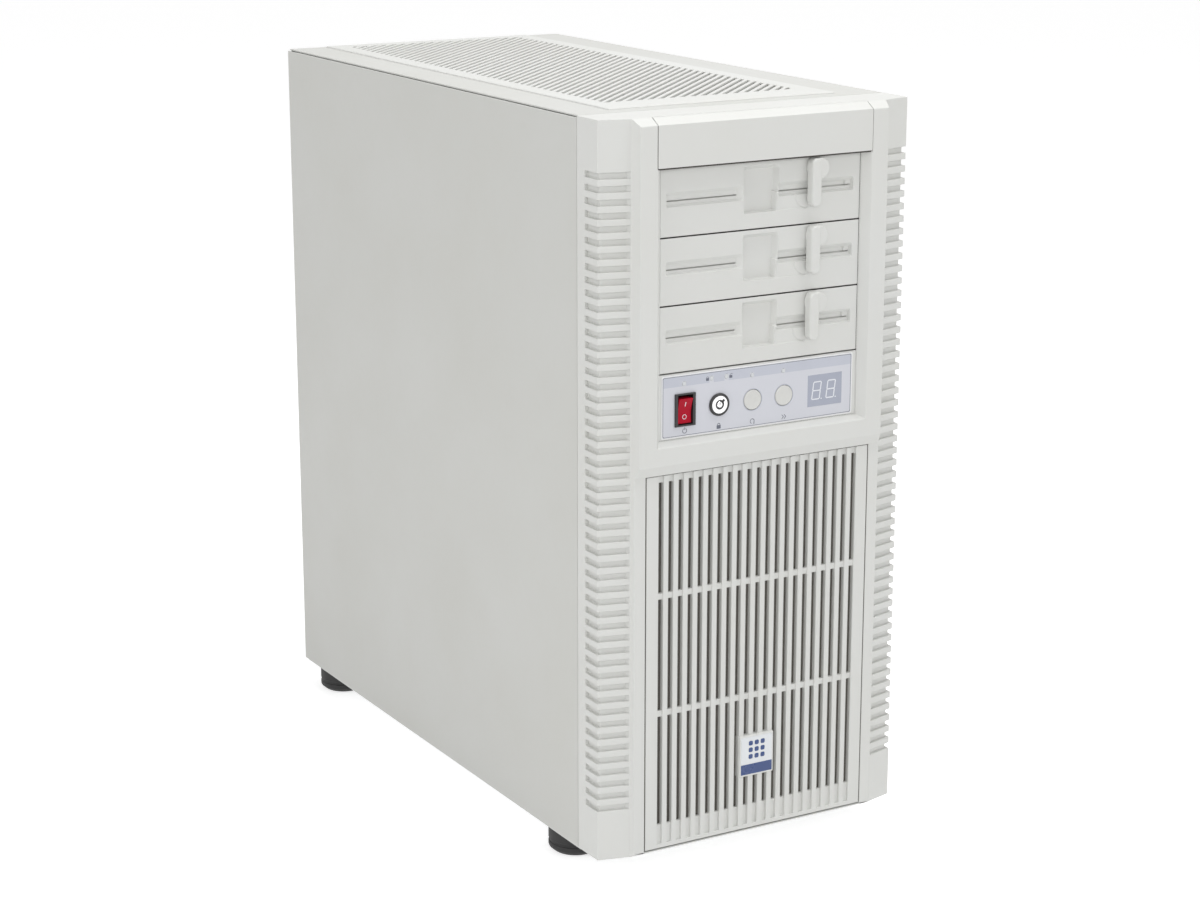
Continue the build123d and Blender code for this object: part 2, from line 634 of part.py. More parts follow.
with BuildPart() as power_supply:
    block(*psu_box)
    x0, x1, d0, d1, h0, h1 = psu_box
    block(x0 + 1.2, x1 - 1.2, d0 + 1.2, d1 - 1.2, h0 + 1.2, h1 - 1.2, Mode.SUBTRACT)
    with BuildSketch(Plane(origin=(psu_x, front + psu_d, base + h0), z_dir=(0, 0, 1))):
        ring_slots((0, 0), 62.0)
    extrude(amount=1.2, mode=Mode.SUBTRACT)
    block(inlet_x - 15, inlet_x + 15, d1 - 22, d1, inlet_h - 11.5, inlet_h + 11.5)
    block(inlet_x - 12, inlet_x + 12, d1 - 17, d1, inlet_h - 8, inlet_h + 8, Mode.SUBTRACT)
    for pin_x in (-7, 0, 7):
        block(inlet_x + pin_x - 1, inlet_x + pin_x + 1, d1 - 17, d1 - 4, inlet_h - 3, inlet_h + 3)
    block(psu_switch_x - 8, psu_switch_x + 8, d1 - 16, d1, inlet_h - 12, inlet_h + 12)
    block(psu_switch_x - 5.4, psu_switch_x + 5.4, d1 - 14, d1, inlet_h - 9.4, inlet_h + 9.4,
          Mode.SUBTRACT)
    rod("x", psu_switch_x, d1 - 6.0, inlet_h, 1.06, 13.0, Mode.SUBTRACT)
    with BuildSketch(facing(d1)):
        with Locations((-27, 44)):
            with GridLocations(8.6, 8.6, 7, 7):
                Circle(3.0)
    extrude(amount=1.2, mode=Mode.SUBTRACT)
    block(68, 80, d0 - 6, d0 + 1.2, 54, 66)
save(power_supply, "power_supply")

with BuildPart() as psu_rocker:
    pivot = Plane(origin=(psu_switch_x - 5.0, front + psu_box[3] - 6.0, base + inlet_h), x_dir=(0, 1, 0),
                  z_dir=(1, 0, 0)).rotated((rocker_tilt, 0, 0))
    with BuildSketch(pivot):
        with BuildLine():
            Polyline((5.8, -8.2), (4.5, 0), (5.8, 8.2), (-2.2, 6.8), (-4.6, 0), (-2.2, -6.8), close=True)
        make_face()
    extrude(amount=10.0)
    rod("x", psu_switch_x, psu_box[3] - 6.0, inlet_h, 1.0, 12.6)
save(psu_rocker, "psu_rocker")

psu_fan_plane = Plane(origin=(psu_x, front + psu_d, base + psu_box[4] + 1.0), z_dir=(0, 0, 1))
save(fan_rotor(psu_fan_plane, size=128.0), "psu_fan_rotor")

# ---- Motherboard and what it carries ------------------------------------------------------------

board_thick = 1.6
face_x = board_x - board_thick
board_d0, board_d1, board_h0, board_h1 = 222.0, 466.0, 135.0, 440.0
port_rows = ((418.0, 12.0), (392.0, 16.0), (362.0, 18.0), (334.0, 14.0), (304.0, 20.0))
socket_d, socket_h = 330.0, 372.0

with BuildPart() as motherboard:
    block(face_x, board_x, board_d0, board_d1, board_h0, board_h1)
    for h, tall in port_rows:
        block(50, 77.4, 440, rear_d + sheet, h - tall / 2, h + tall / 2)
        block(77.4, face_x, 440, 465, h - tall / 2, h + tall / 2)
    block(76, face_x, socket_d - 20, socket_d + 20, socket_h - 20, socket_h + 20)
    block(70, face_x, 285, 325, 165, 205)
    for number in range(4):
        block(73, face_x, 258 + 8 * number, 263 + 8 * number, 298, 436)
    for number in range(1, 6):
        h = slot_h - number * slot_step
        block(69, face_x, 335, 425, h - 3.7, h + 3.7)
    block(68, face_x, 226, 236, 330, 382)
    for h in (395.0, 350.0, 322.0):
        rod("x", 75, 390, h, 4.0, 10.4)
save(motherboard, "motherboard")

with BuildPart() as standoffs:
    for d in (230.0, 344.0, 458.0):
        for h in (141.0, 287.0, 434.0):
            rod("x", (board_x + tray_x) / 2, d, h, 3.0, tray_x - board_x)
save(standoffs, "standoffs")

with BuildPart() as io_shield:
    block(io_window[0] + 0.2, io_window[1] - 0.2, rear_d + 0.2, rear_d + 0.9, io_window[2] + 0.2,
          io_window[3] - 0.2)
    for h, tall in port_rows:
        block(49.6, 77.79, rear_d - 1, rear_d + 2, h - tall / 2 - 0.4, h + tall / 2 + 0.4, Mode.SUBTRACT)
save(io_shield, "io_shield")

cooler_half, fan_box = 45.0, 92.0

with BuildPart() as cpu_cooler:
    block(72, 76, socket_d - 19, socket_d + 19, socket_h - 19, socket_h + 19)
    block(30, 72, socket_d - cooler_half, socket_d + cooler_half, socket_h - cooler_half,
          socket_h + cooler_half)
    fins = Plane(origin=(30, front + socket_d, base + socket_h), x_dir=(0, 1, 0), z_dir=(1, 0, 0))
    with BuildSketch(fins):
        with GridLocations(5.0, 0, 17, 1):
            Rectangle(3.6, 2 * cooler_half)
    extrude(amount=38.0, mode=Mode.SUBTRACT)
cooler_fan_plane = Plane(origin=(30, front + socket_d, base + socket_h), x_dir=(0, 1, 0),
                         z_dir=(-1, 0, 0))
cooler_frame = fan_frame(cooler_fan_plane, size=fan_box, hole=82.5)
with BuildPart() as cooler_with_fan:
    add(cpu_cooler.part)
    add(cooler_frame.part)
save(cooler_with_fan, "cpu_cooler")
save(fan_rotor(cooler_fan_plane, size=fan_box, blades=7), "cpu_fan_rotor")

with BuildPart() as memory_modules:
    for d in (260.5, 276.5):
        block(42, 73, d - 0.6, d + 0.6, 300, 434)
        block(45, 69, d - 1.8, d + 1.8, 306, 428)
save(memory_modules, "memory_modules")

card_h = slot_h - slot_step
cooler_box = (-22.0, 66.0, 240.0, 455.0)
card_fan_d = 347.0

with BuildPart() as graphics_card:
    block(-25, 69, 235, 466.6, card_h - 0.8, card_h + 0.8)
    block(cooler_box[0], cooler_box[1], cooler_box[2], cooler_box[3], card_h - 37, card_h - 0.8)
    rod("z", 22, card_fan_d, card_h - 28, 42.5, 24.0, Mode.SUBTRACT)
    block(bracket[0], bracket[1], 466.6, 467.8, card_h - slot_step - 9, card_h + 9)
    block(22 - 3, 22 + 3, card_fan_d - 42.6, card_fan_d + 42.6, card_h - 37, card_h - 35.5)
save(graphics_card, "graphics_card")

card_fan_plane = Plane(origin=(22, front + card_fan_d, base + card_h - 37.5), z_dir=(0, 0, 1))
save(fan_rotor(card_fan_plane, size=90.0, thick=20.0, blades=11), "card_fan_rotor")

with BuildPart() as slot_covers:
    for number in (0, 3, 4, 5, 6):
        h = slot_h - number * slot_step
        block(bracket[0], bracket[1], 467.0, rear_d, h - 9.2, h + 9.2)
save(slot_covers, "slot_covers")

with BuildPart() as hard_drives:
    for number in range(2):
        h = drive_low + number * drive_step
        block(-50.8, 50.8, 62, 208, h, h + 26.1)
save(hard_drives, "hard_drives")

# ---- Main power cable ---------------------------------------------------------------------------

cable_r = 5.0
cable_points = [(74, 322.6, 60), (74, 264, 60), (62, 220, 105), (52, 208, 190), (46, 210, 280),
                (40, 231, 352), (68, 231, 352)]


def arc_radii(points):
    """The largest corner radii that leave each run a little straight: 0.45 of the shorter run."""
    radii = []
    for before, corner, after in zip(points, points[1:], points[2:]):
        run_in = Vector(*corner) - Vector(*before)
        run_out = Vector(*after) - Vector(*corner)
        shorter = min(run_in.length, run_out.length)
        radii.append(0.45 * shorter / tan(radians(run_in.get_angle(run_out) / 2)))
    return radii


with BuildPart() as main_power_cable:
    route = [(x, front + d, base + h) for x, d, h in cable_points]
    with BuildLine():
        FilletPolyline(*route, radius=arc_radii(route))
    with BuildSketch(Plane(origin=route[0], z_dir=(0, -1, 0))):
        Circle(cable_r)
    sweep()
save(main_power_cable, "main_power_cable")
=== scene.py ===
"""Looks of a desktop computer tower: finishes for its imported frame, and the finely shaped pieces added.

Lengths inside the functions are millimetres in the tower's own frame (front faces -Y, +Z up, ground at
zero) and become metres only when a mesh is written.
"""
import json

import bpy
import numpy as np
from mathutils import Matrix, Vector


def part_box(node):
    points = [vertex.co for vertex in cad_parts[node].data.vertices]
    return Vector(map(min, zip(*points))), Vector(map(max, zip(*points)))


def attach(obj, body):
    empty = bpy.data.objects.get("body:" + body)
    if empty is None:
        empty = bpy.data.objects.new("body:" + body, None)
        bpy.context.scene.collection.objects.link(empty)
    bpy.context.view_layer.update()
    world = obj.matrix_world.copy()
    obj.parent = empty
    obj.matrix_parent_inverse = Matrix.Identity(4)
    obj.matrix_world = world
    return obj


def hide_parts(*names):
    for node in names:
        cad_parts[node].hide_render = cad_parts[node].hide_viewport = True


bl_info = {
    "name": "Desktop Tower Finisher",
    "version": (1, 0, 0),
    "blender": (4, 5, 0),
    "location": "View3D > Sidebar > Tower",
    "description": "Builds the finishes and fine pieces of a desktop computer tower",
    "category": "Object",
}

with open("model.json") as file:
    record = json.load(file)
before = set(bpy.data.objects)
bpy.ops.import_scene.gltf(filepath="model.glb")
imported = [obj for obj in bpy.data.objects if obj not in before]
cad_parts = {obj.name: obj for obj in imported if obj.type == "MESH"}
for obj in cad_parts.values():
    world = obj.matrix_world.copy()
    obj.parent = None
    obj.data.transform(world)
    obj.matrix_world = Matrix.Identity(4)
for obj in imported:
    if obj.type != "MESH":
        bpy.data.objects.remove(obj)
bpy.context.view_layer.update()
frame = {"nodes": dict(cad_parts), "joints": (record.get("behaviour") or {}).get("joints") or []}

MM = 0.001
RIGHT, BACK, UP = np.eye(3)
OUT = -BACK
FROM_FRONT = (RIGHT, UP, OUT)
FROM_REAR = (-RIGHT, UP, BACK)
FROM_ABOVE = (RIGHT, BACK, UP)
FROM_LEFT = (BACK, -UP, -RIGHT)

WELD_DISTANCE = 0.00001
SMOOTH_ANGLE = np.radians(35)
NODE_EDGE_ANGLE = np.radians(24)
PIECE_EDGE_ANGLE = np.radians(38)

LEVER_PIVOT_X = 39.5
LEVER_RADIUS = 6.7
COVER_DEPTH = 6.0
COVER_REAR = -4.9
FIRST_SLOT = 262.0
SLOT_PITCH = 20.32


def node_box(node):
    """Lowest and highest corner of a frame node, in millimetres."""
    low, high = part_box(node)
    return np.array(low) / MM, np.array(high) / MM


def front_of(node):
    """Middle width, front depth and middle height of a frame node, as at() takes them."""
    low, high = node_box(node)
    return (low[0] + high[0]) / 2, low[1] - FRONT, (low[2] + high[2]) / 2 - BASE


def pivot_of(body):
    """The point that a turning body's joint goes through, in millimetres."""
    joint = next(joint for joint in frame["joints"] if joint["child"] == body)
    return np.array(joint["pos_m"]) / MM


FRONT = node_box("front_bezel")[0][1]
REAR = node_box("rear_panel")[1][1]
BASE = node_box("front_bezel")[0][2]
HALF = node_box("front_bezel")[1][0]


# ---- Surfaces worked out as arrays --------------------------------------------------------------

def skin(points, closed_u=False, closed_v=False):
    """Quads over a grid of points: cell (i, j) joins rows i, i+1 and columns j, j+1, wrapped if closed."""
    rows, columns = points.shape[:2]
    index = np.arange(rows * columns).reshape(rows, columns)
    if closed_u:
        index = np.vstack([index, index[:1]])
    if closed_v:
        index = np.hstack([index, index[:, :1]])
    quads = np.stack([index[:-1, :-1], index[:-1, 1:], index[1:, 1:], index[1:, :-1]], -1)
    return points.reshape(-1, 3), quads.reshape(-1, 4).tolist()


def capped(grid):
    """A stack of closed rings, with flat faces over its first and its last ring."""
    points, faces = skin(grid, closed_v=True)
    count = grid.shape[1]
    faces.append(list(range(count))[::-1])
    faces.append(list(range(len(points) - count, len(points))))
    return points, faces


def joined(parts):
    """Several (points, faces) surfaces as one, each face list shifted past the points before it."""
    points, faces, start = [], [], 0
    for part_points, part_faces in parts:
        points.append(part_points)
        faces.extend([[i + start for i in face] for face in part_faces])
        start += len(part_points)
    return np.vstack(points), faces


def rounded_outline(width, height, radius, steps=6):
    """A closed rounded rectangle about the origin: four quarter circles of the corner radius, joined."""
    radius = min(radius, width / 2, height / 2)
    turn = np.linspace(0, np.pi / 2, steps)
    quarter = radius * np.stack([np.cos(turn), np.sin(turn)], -1)
    centre = np.array([width / 2 - radius, height / 2 - radius])
    parts = []
    for k, signs in enumerate(((1, 1), (-1, 1), (-1, -1), (1, -1))):
        angle = k * np.pi / 2
        spin = np.array([[np.cos(angle), np.sin(angle)], [-np.sin(angle), np.cos(angle)]])
        parts.append(quarter @ spin + centre * signs)
    return np.vstack(parts)


def placed(local, origin, across=RIGHT, along=UP, out=OUT):
    """Local (x, y, z) points set at an origin, with x across, y along and z out of the surface."""
    x, y, z = local[..., :1], local[..., 1:2], local[..., 2:3]
    return np.asarray(origin, float) + x * across + y * along + z * out


def slab(width, height, radius, low, high, edge=0.4, steps=6, sink=0.0):
    """A plate with a softened top edge: its outline is carried up from low, drawn in along a quarter circle
    of the edge radius to high, and closed by flat ends. A sink dishes the top by a parabola that deep."""
    turn = np.linspace(0, np.pi / 2, 4)
    inset = np.concatenate([[0.0], edge * (1 - np.cos(turn))])
    level = np.concatenate([[low], high - edge + edge * np.sin(turn)])
    rings = []
    for draw_in, z in zip(inset, level):
        corner = max(radius - draw_in, 0.01)
        ring = rounded_outline(width - 2 * draw_in, height - 2 * draw_in, corner, steps)
        rings.append(np.column_stack([ring, np.full(len(ring), z)]))
    scale = np.linspace(1, 0, 6)[1:-1] if sink else []
    for part in scale:
        ring = rings[len(level) - 1].copy()
        ring[:, :2] *= part
        ring[:, 2] -= sink * (1 - part ** 2)
        rings.append(ring)
    return capped(np.stack(rings))


def spun(profile, steps, swing=0.0, teeth=0):
    """Rings about local z: each (radius, height) point carried once round a circle, its radius swung by a
    cosine of so many teeth times the swing."""
    profile = np.asarray(profile, float)
    angle = np.linspace(0, 2 * np.pi, steps, endpoint=False)
    radius = profile[:, :1] + np.reshape(swing, (-1, 1)) * np.cos(teeth * angle)
    height = np.repeat(profile[:, 1:], steps, 1)
    return np.stack([radius * np.cos(angle), radius * np.sin(angle), height], -1)


def turned(profile, steps=32, swing=0.0, teeth=0):
    """A turned shape about local z with closed ends, knurled where it has a swing."""
    return capped(spun(profile, steps, swing, teeth))


def collar(profile, steps=40):
    """A ring about local z: a closed profile of (radius, height) points carried once round a circle."""
    return skin(spun(profile, steps), closed_u=True, closed_v=True)


def hoop(inner, outer, low, high, steps=40):
    """A flat ring about local z: a collar whose profile is a rectangle."""
    return collar([(outer, low), (outer, high), (inner, high), (inner, low)], steps)


def plate(outline, low, high):
    """A flat piece: a closed (x, y) outline raised from low to high, with flat ends."""
    outline = np.asarray(outline, float)
    return capped(np.stack([np.column_stack([outline, np.full(len(outline), z)]) for z in (low, high)]))


def brick(x0, x1, y0, y1, z0, z1):
    """A plain box between two corners, as a plate."""
    return plate([(x0, y0), (x1, y0), (x1, y1), (x0, y1)], z0, z1)


def shifted(part, origin, across=RIGHT, along=UP, out=OUT):
    """A local (points, faces) part set into the tower."""
    return placed(part[0], origin, across, along, out), part[1]


def solid(x0, x1, d0, d1, h0, h1):
    """A plain box between two widths, depths and heights, in either order."""
    (x0, x1), (d0, d1), (h0, h1) = sorted((x0, x1)), sorted((d0, d1)), sorted((h0, h1))
    return shifted(brick(x0, x1, d0, d1, h0, h1), at(0, 0, 0), *FROM_ABOVE)


def at(x, d, h):
    """The point at width x, depth d behind the raised front and height h above the casing's underside."""
    return np.array([x, FRONT + d, BASE + h])


# ---- Mesh objects -------------------------------------------------------------------------------

def shade_by_angle():
    """A geometry group that shades smoothly across edges that turn less than the smooth angle."""
    name = "shade_by_angle"
    if name in bpy.data.node_groups:
        return bpy.data.node_groups[name]
    group = bpy.data.node_groups.new(name, "GeometryNodeTree")
    group.interface.new_socket("Geometry", in_out="INPUT", socket_type="NodeSocketGeometry")
    group.interface.new_socket("Geometry", in_out="OUTPUT", socket_type="NodeSocketGeometry")
    enter, leave = group.nodes.new("NodeGroupInput"), group.nodes.new("NodeGroupOutput")
    faces = group.nodes.new("GeometryNodeSetShadeSmooth")
    edges = group.nodes.new("GeometryNodeSetShadeSmooth")
    edges.domain = "EDGE"
    angle = group.nodes.new("GeometryNodeInputMeshEdgeAngle")
    compare = group.nodes.new("FunctionNodeCompare")
    compare.operation = "LESS_THAN"
    compare.inputs[1].default_value = SMOOTH_ANGLE
    group.links.new(angle.outputs[0], compare.inputs[0])
    group.links.new(enter.outputs[0], faces.inputs[0])
    group.links.new(faces.outputs[0], edges.inputs[0])
    group.links.new(compare.outputs[0], edges.inputs[2])
    group.links.new(edges.outputs[0], leave.inputs[0])
    return group


def finish_shading(piece):
    """Smooth shading with crisp corners and flat flats."""
    piece.modifiers.new("shade", "NODES").node_group = shade_by_angle()
    piece.modifiers.new("flats", "WEIGHTED_NORMAL").keep_sharp = True


def weld(piece):
    """Joins a piece's corners where they meet."""
    piece.modifiers.new("weld", "WELD").merge_threshold = WELD_DISTANCE


def broken_edges(piece, width, angle):
    """A bevel of that many millimetres on the edges that turn more than the angle."""
    bevel = piece.modifiers.new("edges", "BEVEL")
    bevel.width, bevel.segments = width * MM, 2
    bevel.limit_method, bevel.angle_limit = "ANGLE", angle
    return bevel


def soften(node, width):
    """Breaks the sharp edges of a frame node: its triangles are welded and its corners bevelled."""
    piece = frame["nodes"][node]
    weld(piece)
    if width:
        broken_edges(piece, width, NODE_EDGE_ANGLE).use_clamp_overlap = False
    finish_shading(piece)


def build(name, parts, finish, body, replaces=(), bevel=0.0, rear=(), rear_finish=None):
    """Writes surfaces into one mesh object with a finish, riding on a body and standing for frame nodes.
    Rear surfaces take their own finish and are welded to the others where they meet."""
    points, faces = joined([*parts, *rear])
    mesh = bpy.data.meshes.new(name)
    mesh.from_pydata((points * MM).tolist(), [], faces)
    mesh.materials.append(look(finish))
    piece = bpy.data.objects.new(name, mesh)
    bpy.context.scene.collection.objects.link(piece)
    # A rear finish is painted shade where it is given: the bay covers' walls and clips take near-black for
    # the shadow in their gaps.
    if rear:
        mesh.materials.append(look(rear_finish))
        front_count = sum(len(part[1]) for part in parts)
        in_rear = (np.arange(len(faces)) >= front_count).astype(np.int32)
        mesh.polygons.foreach_set("material_index", in_rear)
        weld(piece)
    mesh.validate()
    if bevel:
        broken_edges(piece, bevel, PIECE_EDGE_ANGLE)
    finish_shading(piece)
    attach(piece, body)
    if replaces:
        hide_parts(*replaces)


# ---- Shader groups and finishes -----------------------------------------------------------------

def socket(group, name, kind, value=None, output=False):
    """A named socket of a shader group."""
    way = "OUTPUT" if output else "INPUT"
    made = group.interface.new_socket(name, in_out=way, socket_type="NodeSocket" + kind)
    if value is not None:
        made.default_value = value
    return made


def set_inputs(node, values):
    """Sets a shader node's inputs by name."""
    for name, value in values.items():
        node.inputs[name].default_value = value


def noise(group, coordinates, scale, detail=3.0, roughness=0.55):
    """A noise texture on the object's own coordinates."""
    texture = group.nodes.new("ShaderNodeTexNoise")
    set_inputs(texture, {"Scale": scale, "Detail": detail, "Roughness": roughness})
    group.links.new(coordinates, texture.inputs["Vector"])
    return texture.outputs["Fac"]


def ranged(group, value, low, high, new_low, new_high):
    """A value mapped from one range to another and clamped."""
    mapping = group.nodes.new("ShaderNodeMapRange")
    for name, number in (("From Min", low), ("From Max", high), ("To Min", new_low), ("To Max", new_high)):
        if hasattr(number, "is_linked"):
            group.links.new(number, mapping.inputs[name])
        else:
            mapping.inputs[name].default_value = number
    group.links.new(value, mapping.inputs["Value"])
    return mapping.outputs["Result"]


def grain_group():
    """Moulding or paint texture: a fine pitted grain over a faint long ripple, as a height."""
    name = "surface_grain"
    if name in bpy.data.node_groups:
        return bpy.data.node_groups[name]
    group = bpy.data.node_groups.new(name, "ShaderNodeTree")
    socket(group, "Pits per metre", "Float", 2400.0)
    socket(group, "Ripple", "Float", 0.3)
    socket(group, "Height", "Float", output=True)
    enter, leave = group.nodes.new("NodeGroupInput"), group.nodes.new("NodeGroupOutput")
    place = group.nodes.new("ShaderNodeTexCoord").outputs["Object"]
    pits = group.nodes.new("ShaderNodeTexVoronoi")
    pits.feature = "SMOOTH_F1"
    group.links.new(place, pits.inputs["Vector"])
    group.links.new(enter.outputs["Pits per metre"], pits.inputs["Scale"])
    ripple = noise(group, place, 90.0, 2.0)
    mix = group.nodes.new("ShaderNodeMath")
    mix.operation = "MULTIPLY_ADD"
    group.links.new(ripple, mix.inputs[0])
    group.links.new(enter.outputs["Ripple"], mix.inputs[1])
    group.links.new(pits.outputs["Distance"], mix.inputs[2])
    group.links.new(mix.outputs[0], leave.inputs["Height"])
    return group


def age_group():
    """Light ageing: a broad uneven tint and small handling marks that change colour and roughness."""
    name = "light_ageing"
    if name in bpy.data.node_groups:
        return bpy.data.node_groups[name]
    group = bpy.data.node_groups.new(name, "ShaderNodeTree")
    socket(group, "Clean", "Color", (0.8, 0.8, 0.8, 1))
    socket(group, "Aged", "Color", (0.7, 0.7, 0.6, 1))
    socket(group, "Amount", "Float", 0.3)
    socket(group, "Smooth", "Float", 0.4)
    socket(group, "Rough", "Float", 0.55)
    socket(group, "Colour", "Color", output=True)
    socket(group, "Roughness", "Float", output=True)
    enter, leave = group.nodes.new("NodeGroupInput"), group.nodes.new("NodeGroupOutput")
    place = group.nodes.new("ShaderNodeTexCoord").outputs["Object"]
    broad = ranged(group, noise(group, place, 9.0, 4.0), 0.35, 0.7, 0.0, 1.0)
    marks = ranged(group, noise(group, place, 260.0, 6.0, 0.7), 0.5, 0.78, 0.0, 1.0)
    both = group.nodes.new("ShaderNodeMath")
    both.operation = "MULTIPLY_ADD"
    both.use_clamp = True
    both.inputs[1].default_value = 0.5
    group.links.new(marks, both.inputs[0])
    group.links.new(broad, both.inputs[2])
    amount = group.nodes.new("ShaderNodeMath")
    amount.operation = "MULTIPLY"
    group.links.new(both.outputs[0], amount.inputs[0])
    group.links.new(enter.outputs["Amount"], amount.inputs[1])
    mix = group.nodes.new("ShaderNodeMix")
    mix.data_type = "RGBA"
    group.links.new(amount.outputs[0], mix.inputs["Factor"])
    group.links.new(enter.outputs["Clean"], mix.inputs[6])
    group.links.new(enter.outputs["Aged"], mix.inputs[7])
    group.links.new(mix.outputs[2], leave.inputs["Colour"])
    rough = ranged(group, both.outputs[0], 0.0, 1.0, enter.outputs["Smooth"], enter.outputs["Rough"])
    group.links.new(rough, leave.inputs["Roughness"])
    return group


def finish_material(name, clean, aged=None, amount=0.3, smooth=0.4, rough=0.55, pits=2400.0, bump=0.1,
                    bump_mm=0.05, metallic=0.0, coat=0.0, specular=0.5, ripple=0.3):
    """A moulded, painted or metal finish: aged colour and roughness, and grain through a bump."""
    label = name + "_finish"
    if label in bpy.data.materials:
        return bpy.data.materials[label]
    material = bpy.data.materials.new(label)
    material.use_nodes = True
    tree = material.node_tree
    shader = tree.nodes["Principled BSDF"]
    set_inputs(shader, {"Metallic": metallic, "Specular IOR Level": specular, "Coat Weight": coat})
    aged = aged or tuple(c * 0.85 for c in clean)
    age = tree.nodes.new("ShaderNodeGroup")
    age.node_tree = age_group()
    set_inputs(age, {"Clean": (*clean, 1), "Aged": (*aged, 1), "Amount": amount, "Smooth": smooth,
                     "Rough": rough})
    tree.links.new(age.outputs["Colour"], shader.inputs["Base Color"])
    tree.links.new(age.outputs["Roughness"], shader.inputs["Roughness"])
    if bump:
        grain = tree.nodes.new("ShaderNodeGroup")
        grain.node_tree = grain_group()
        set_inputs(grain, {"Pits per metre": pits, "Ripple": ripple})
        raise_it = tree.nodes.new("ShaderNodeBump")
        set_inputs(raise_it, {"Strength": bump, "Distance": bump_mm * MM})
        tree.links.new(grain.outputs["Height"], raise_it.inputs["Height"])
        tree.links.new(raise_it.outputs["Normal"], shader.inputs["Normal"])
    material.diffuse_color = (*clean, 1)
    return material


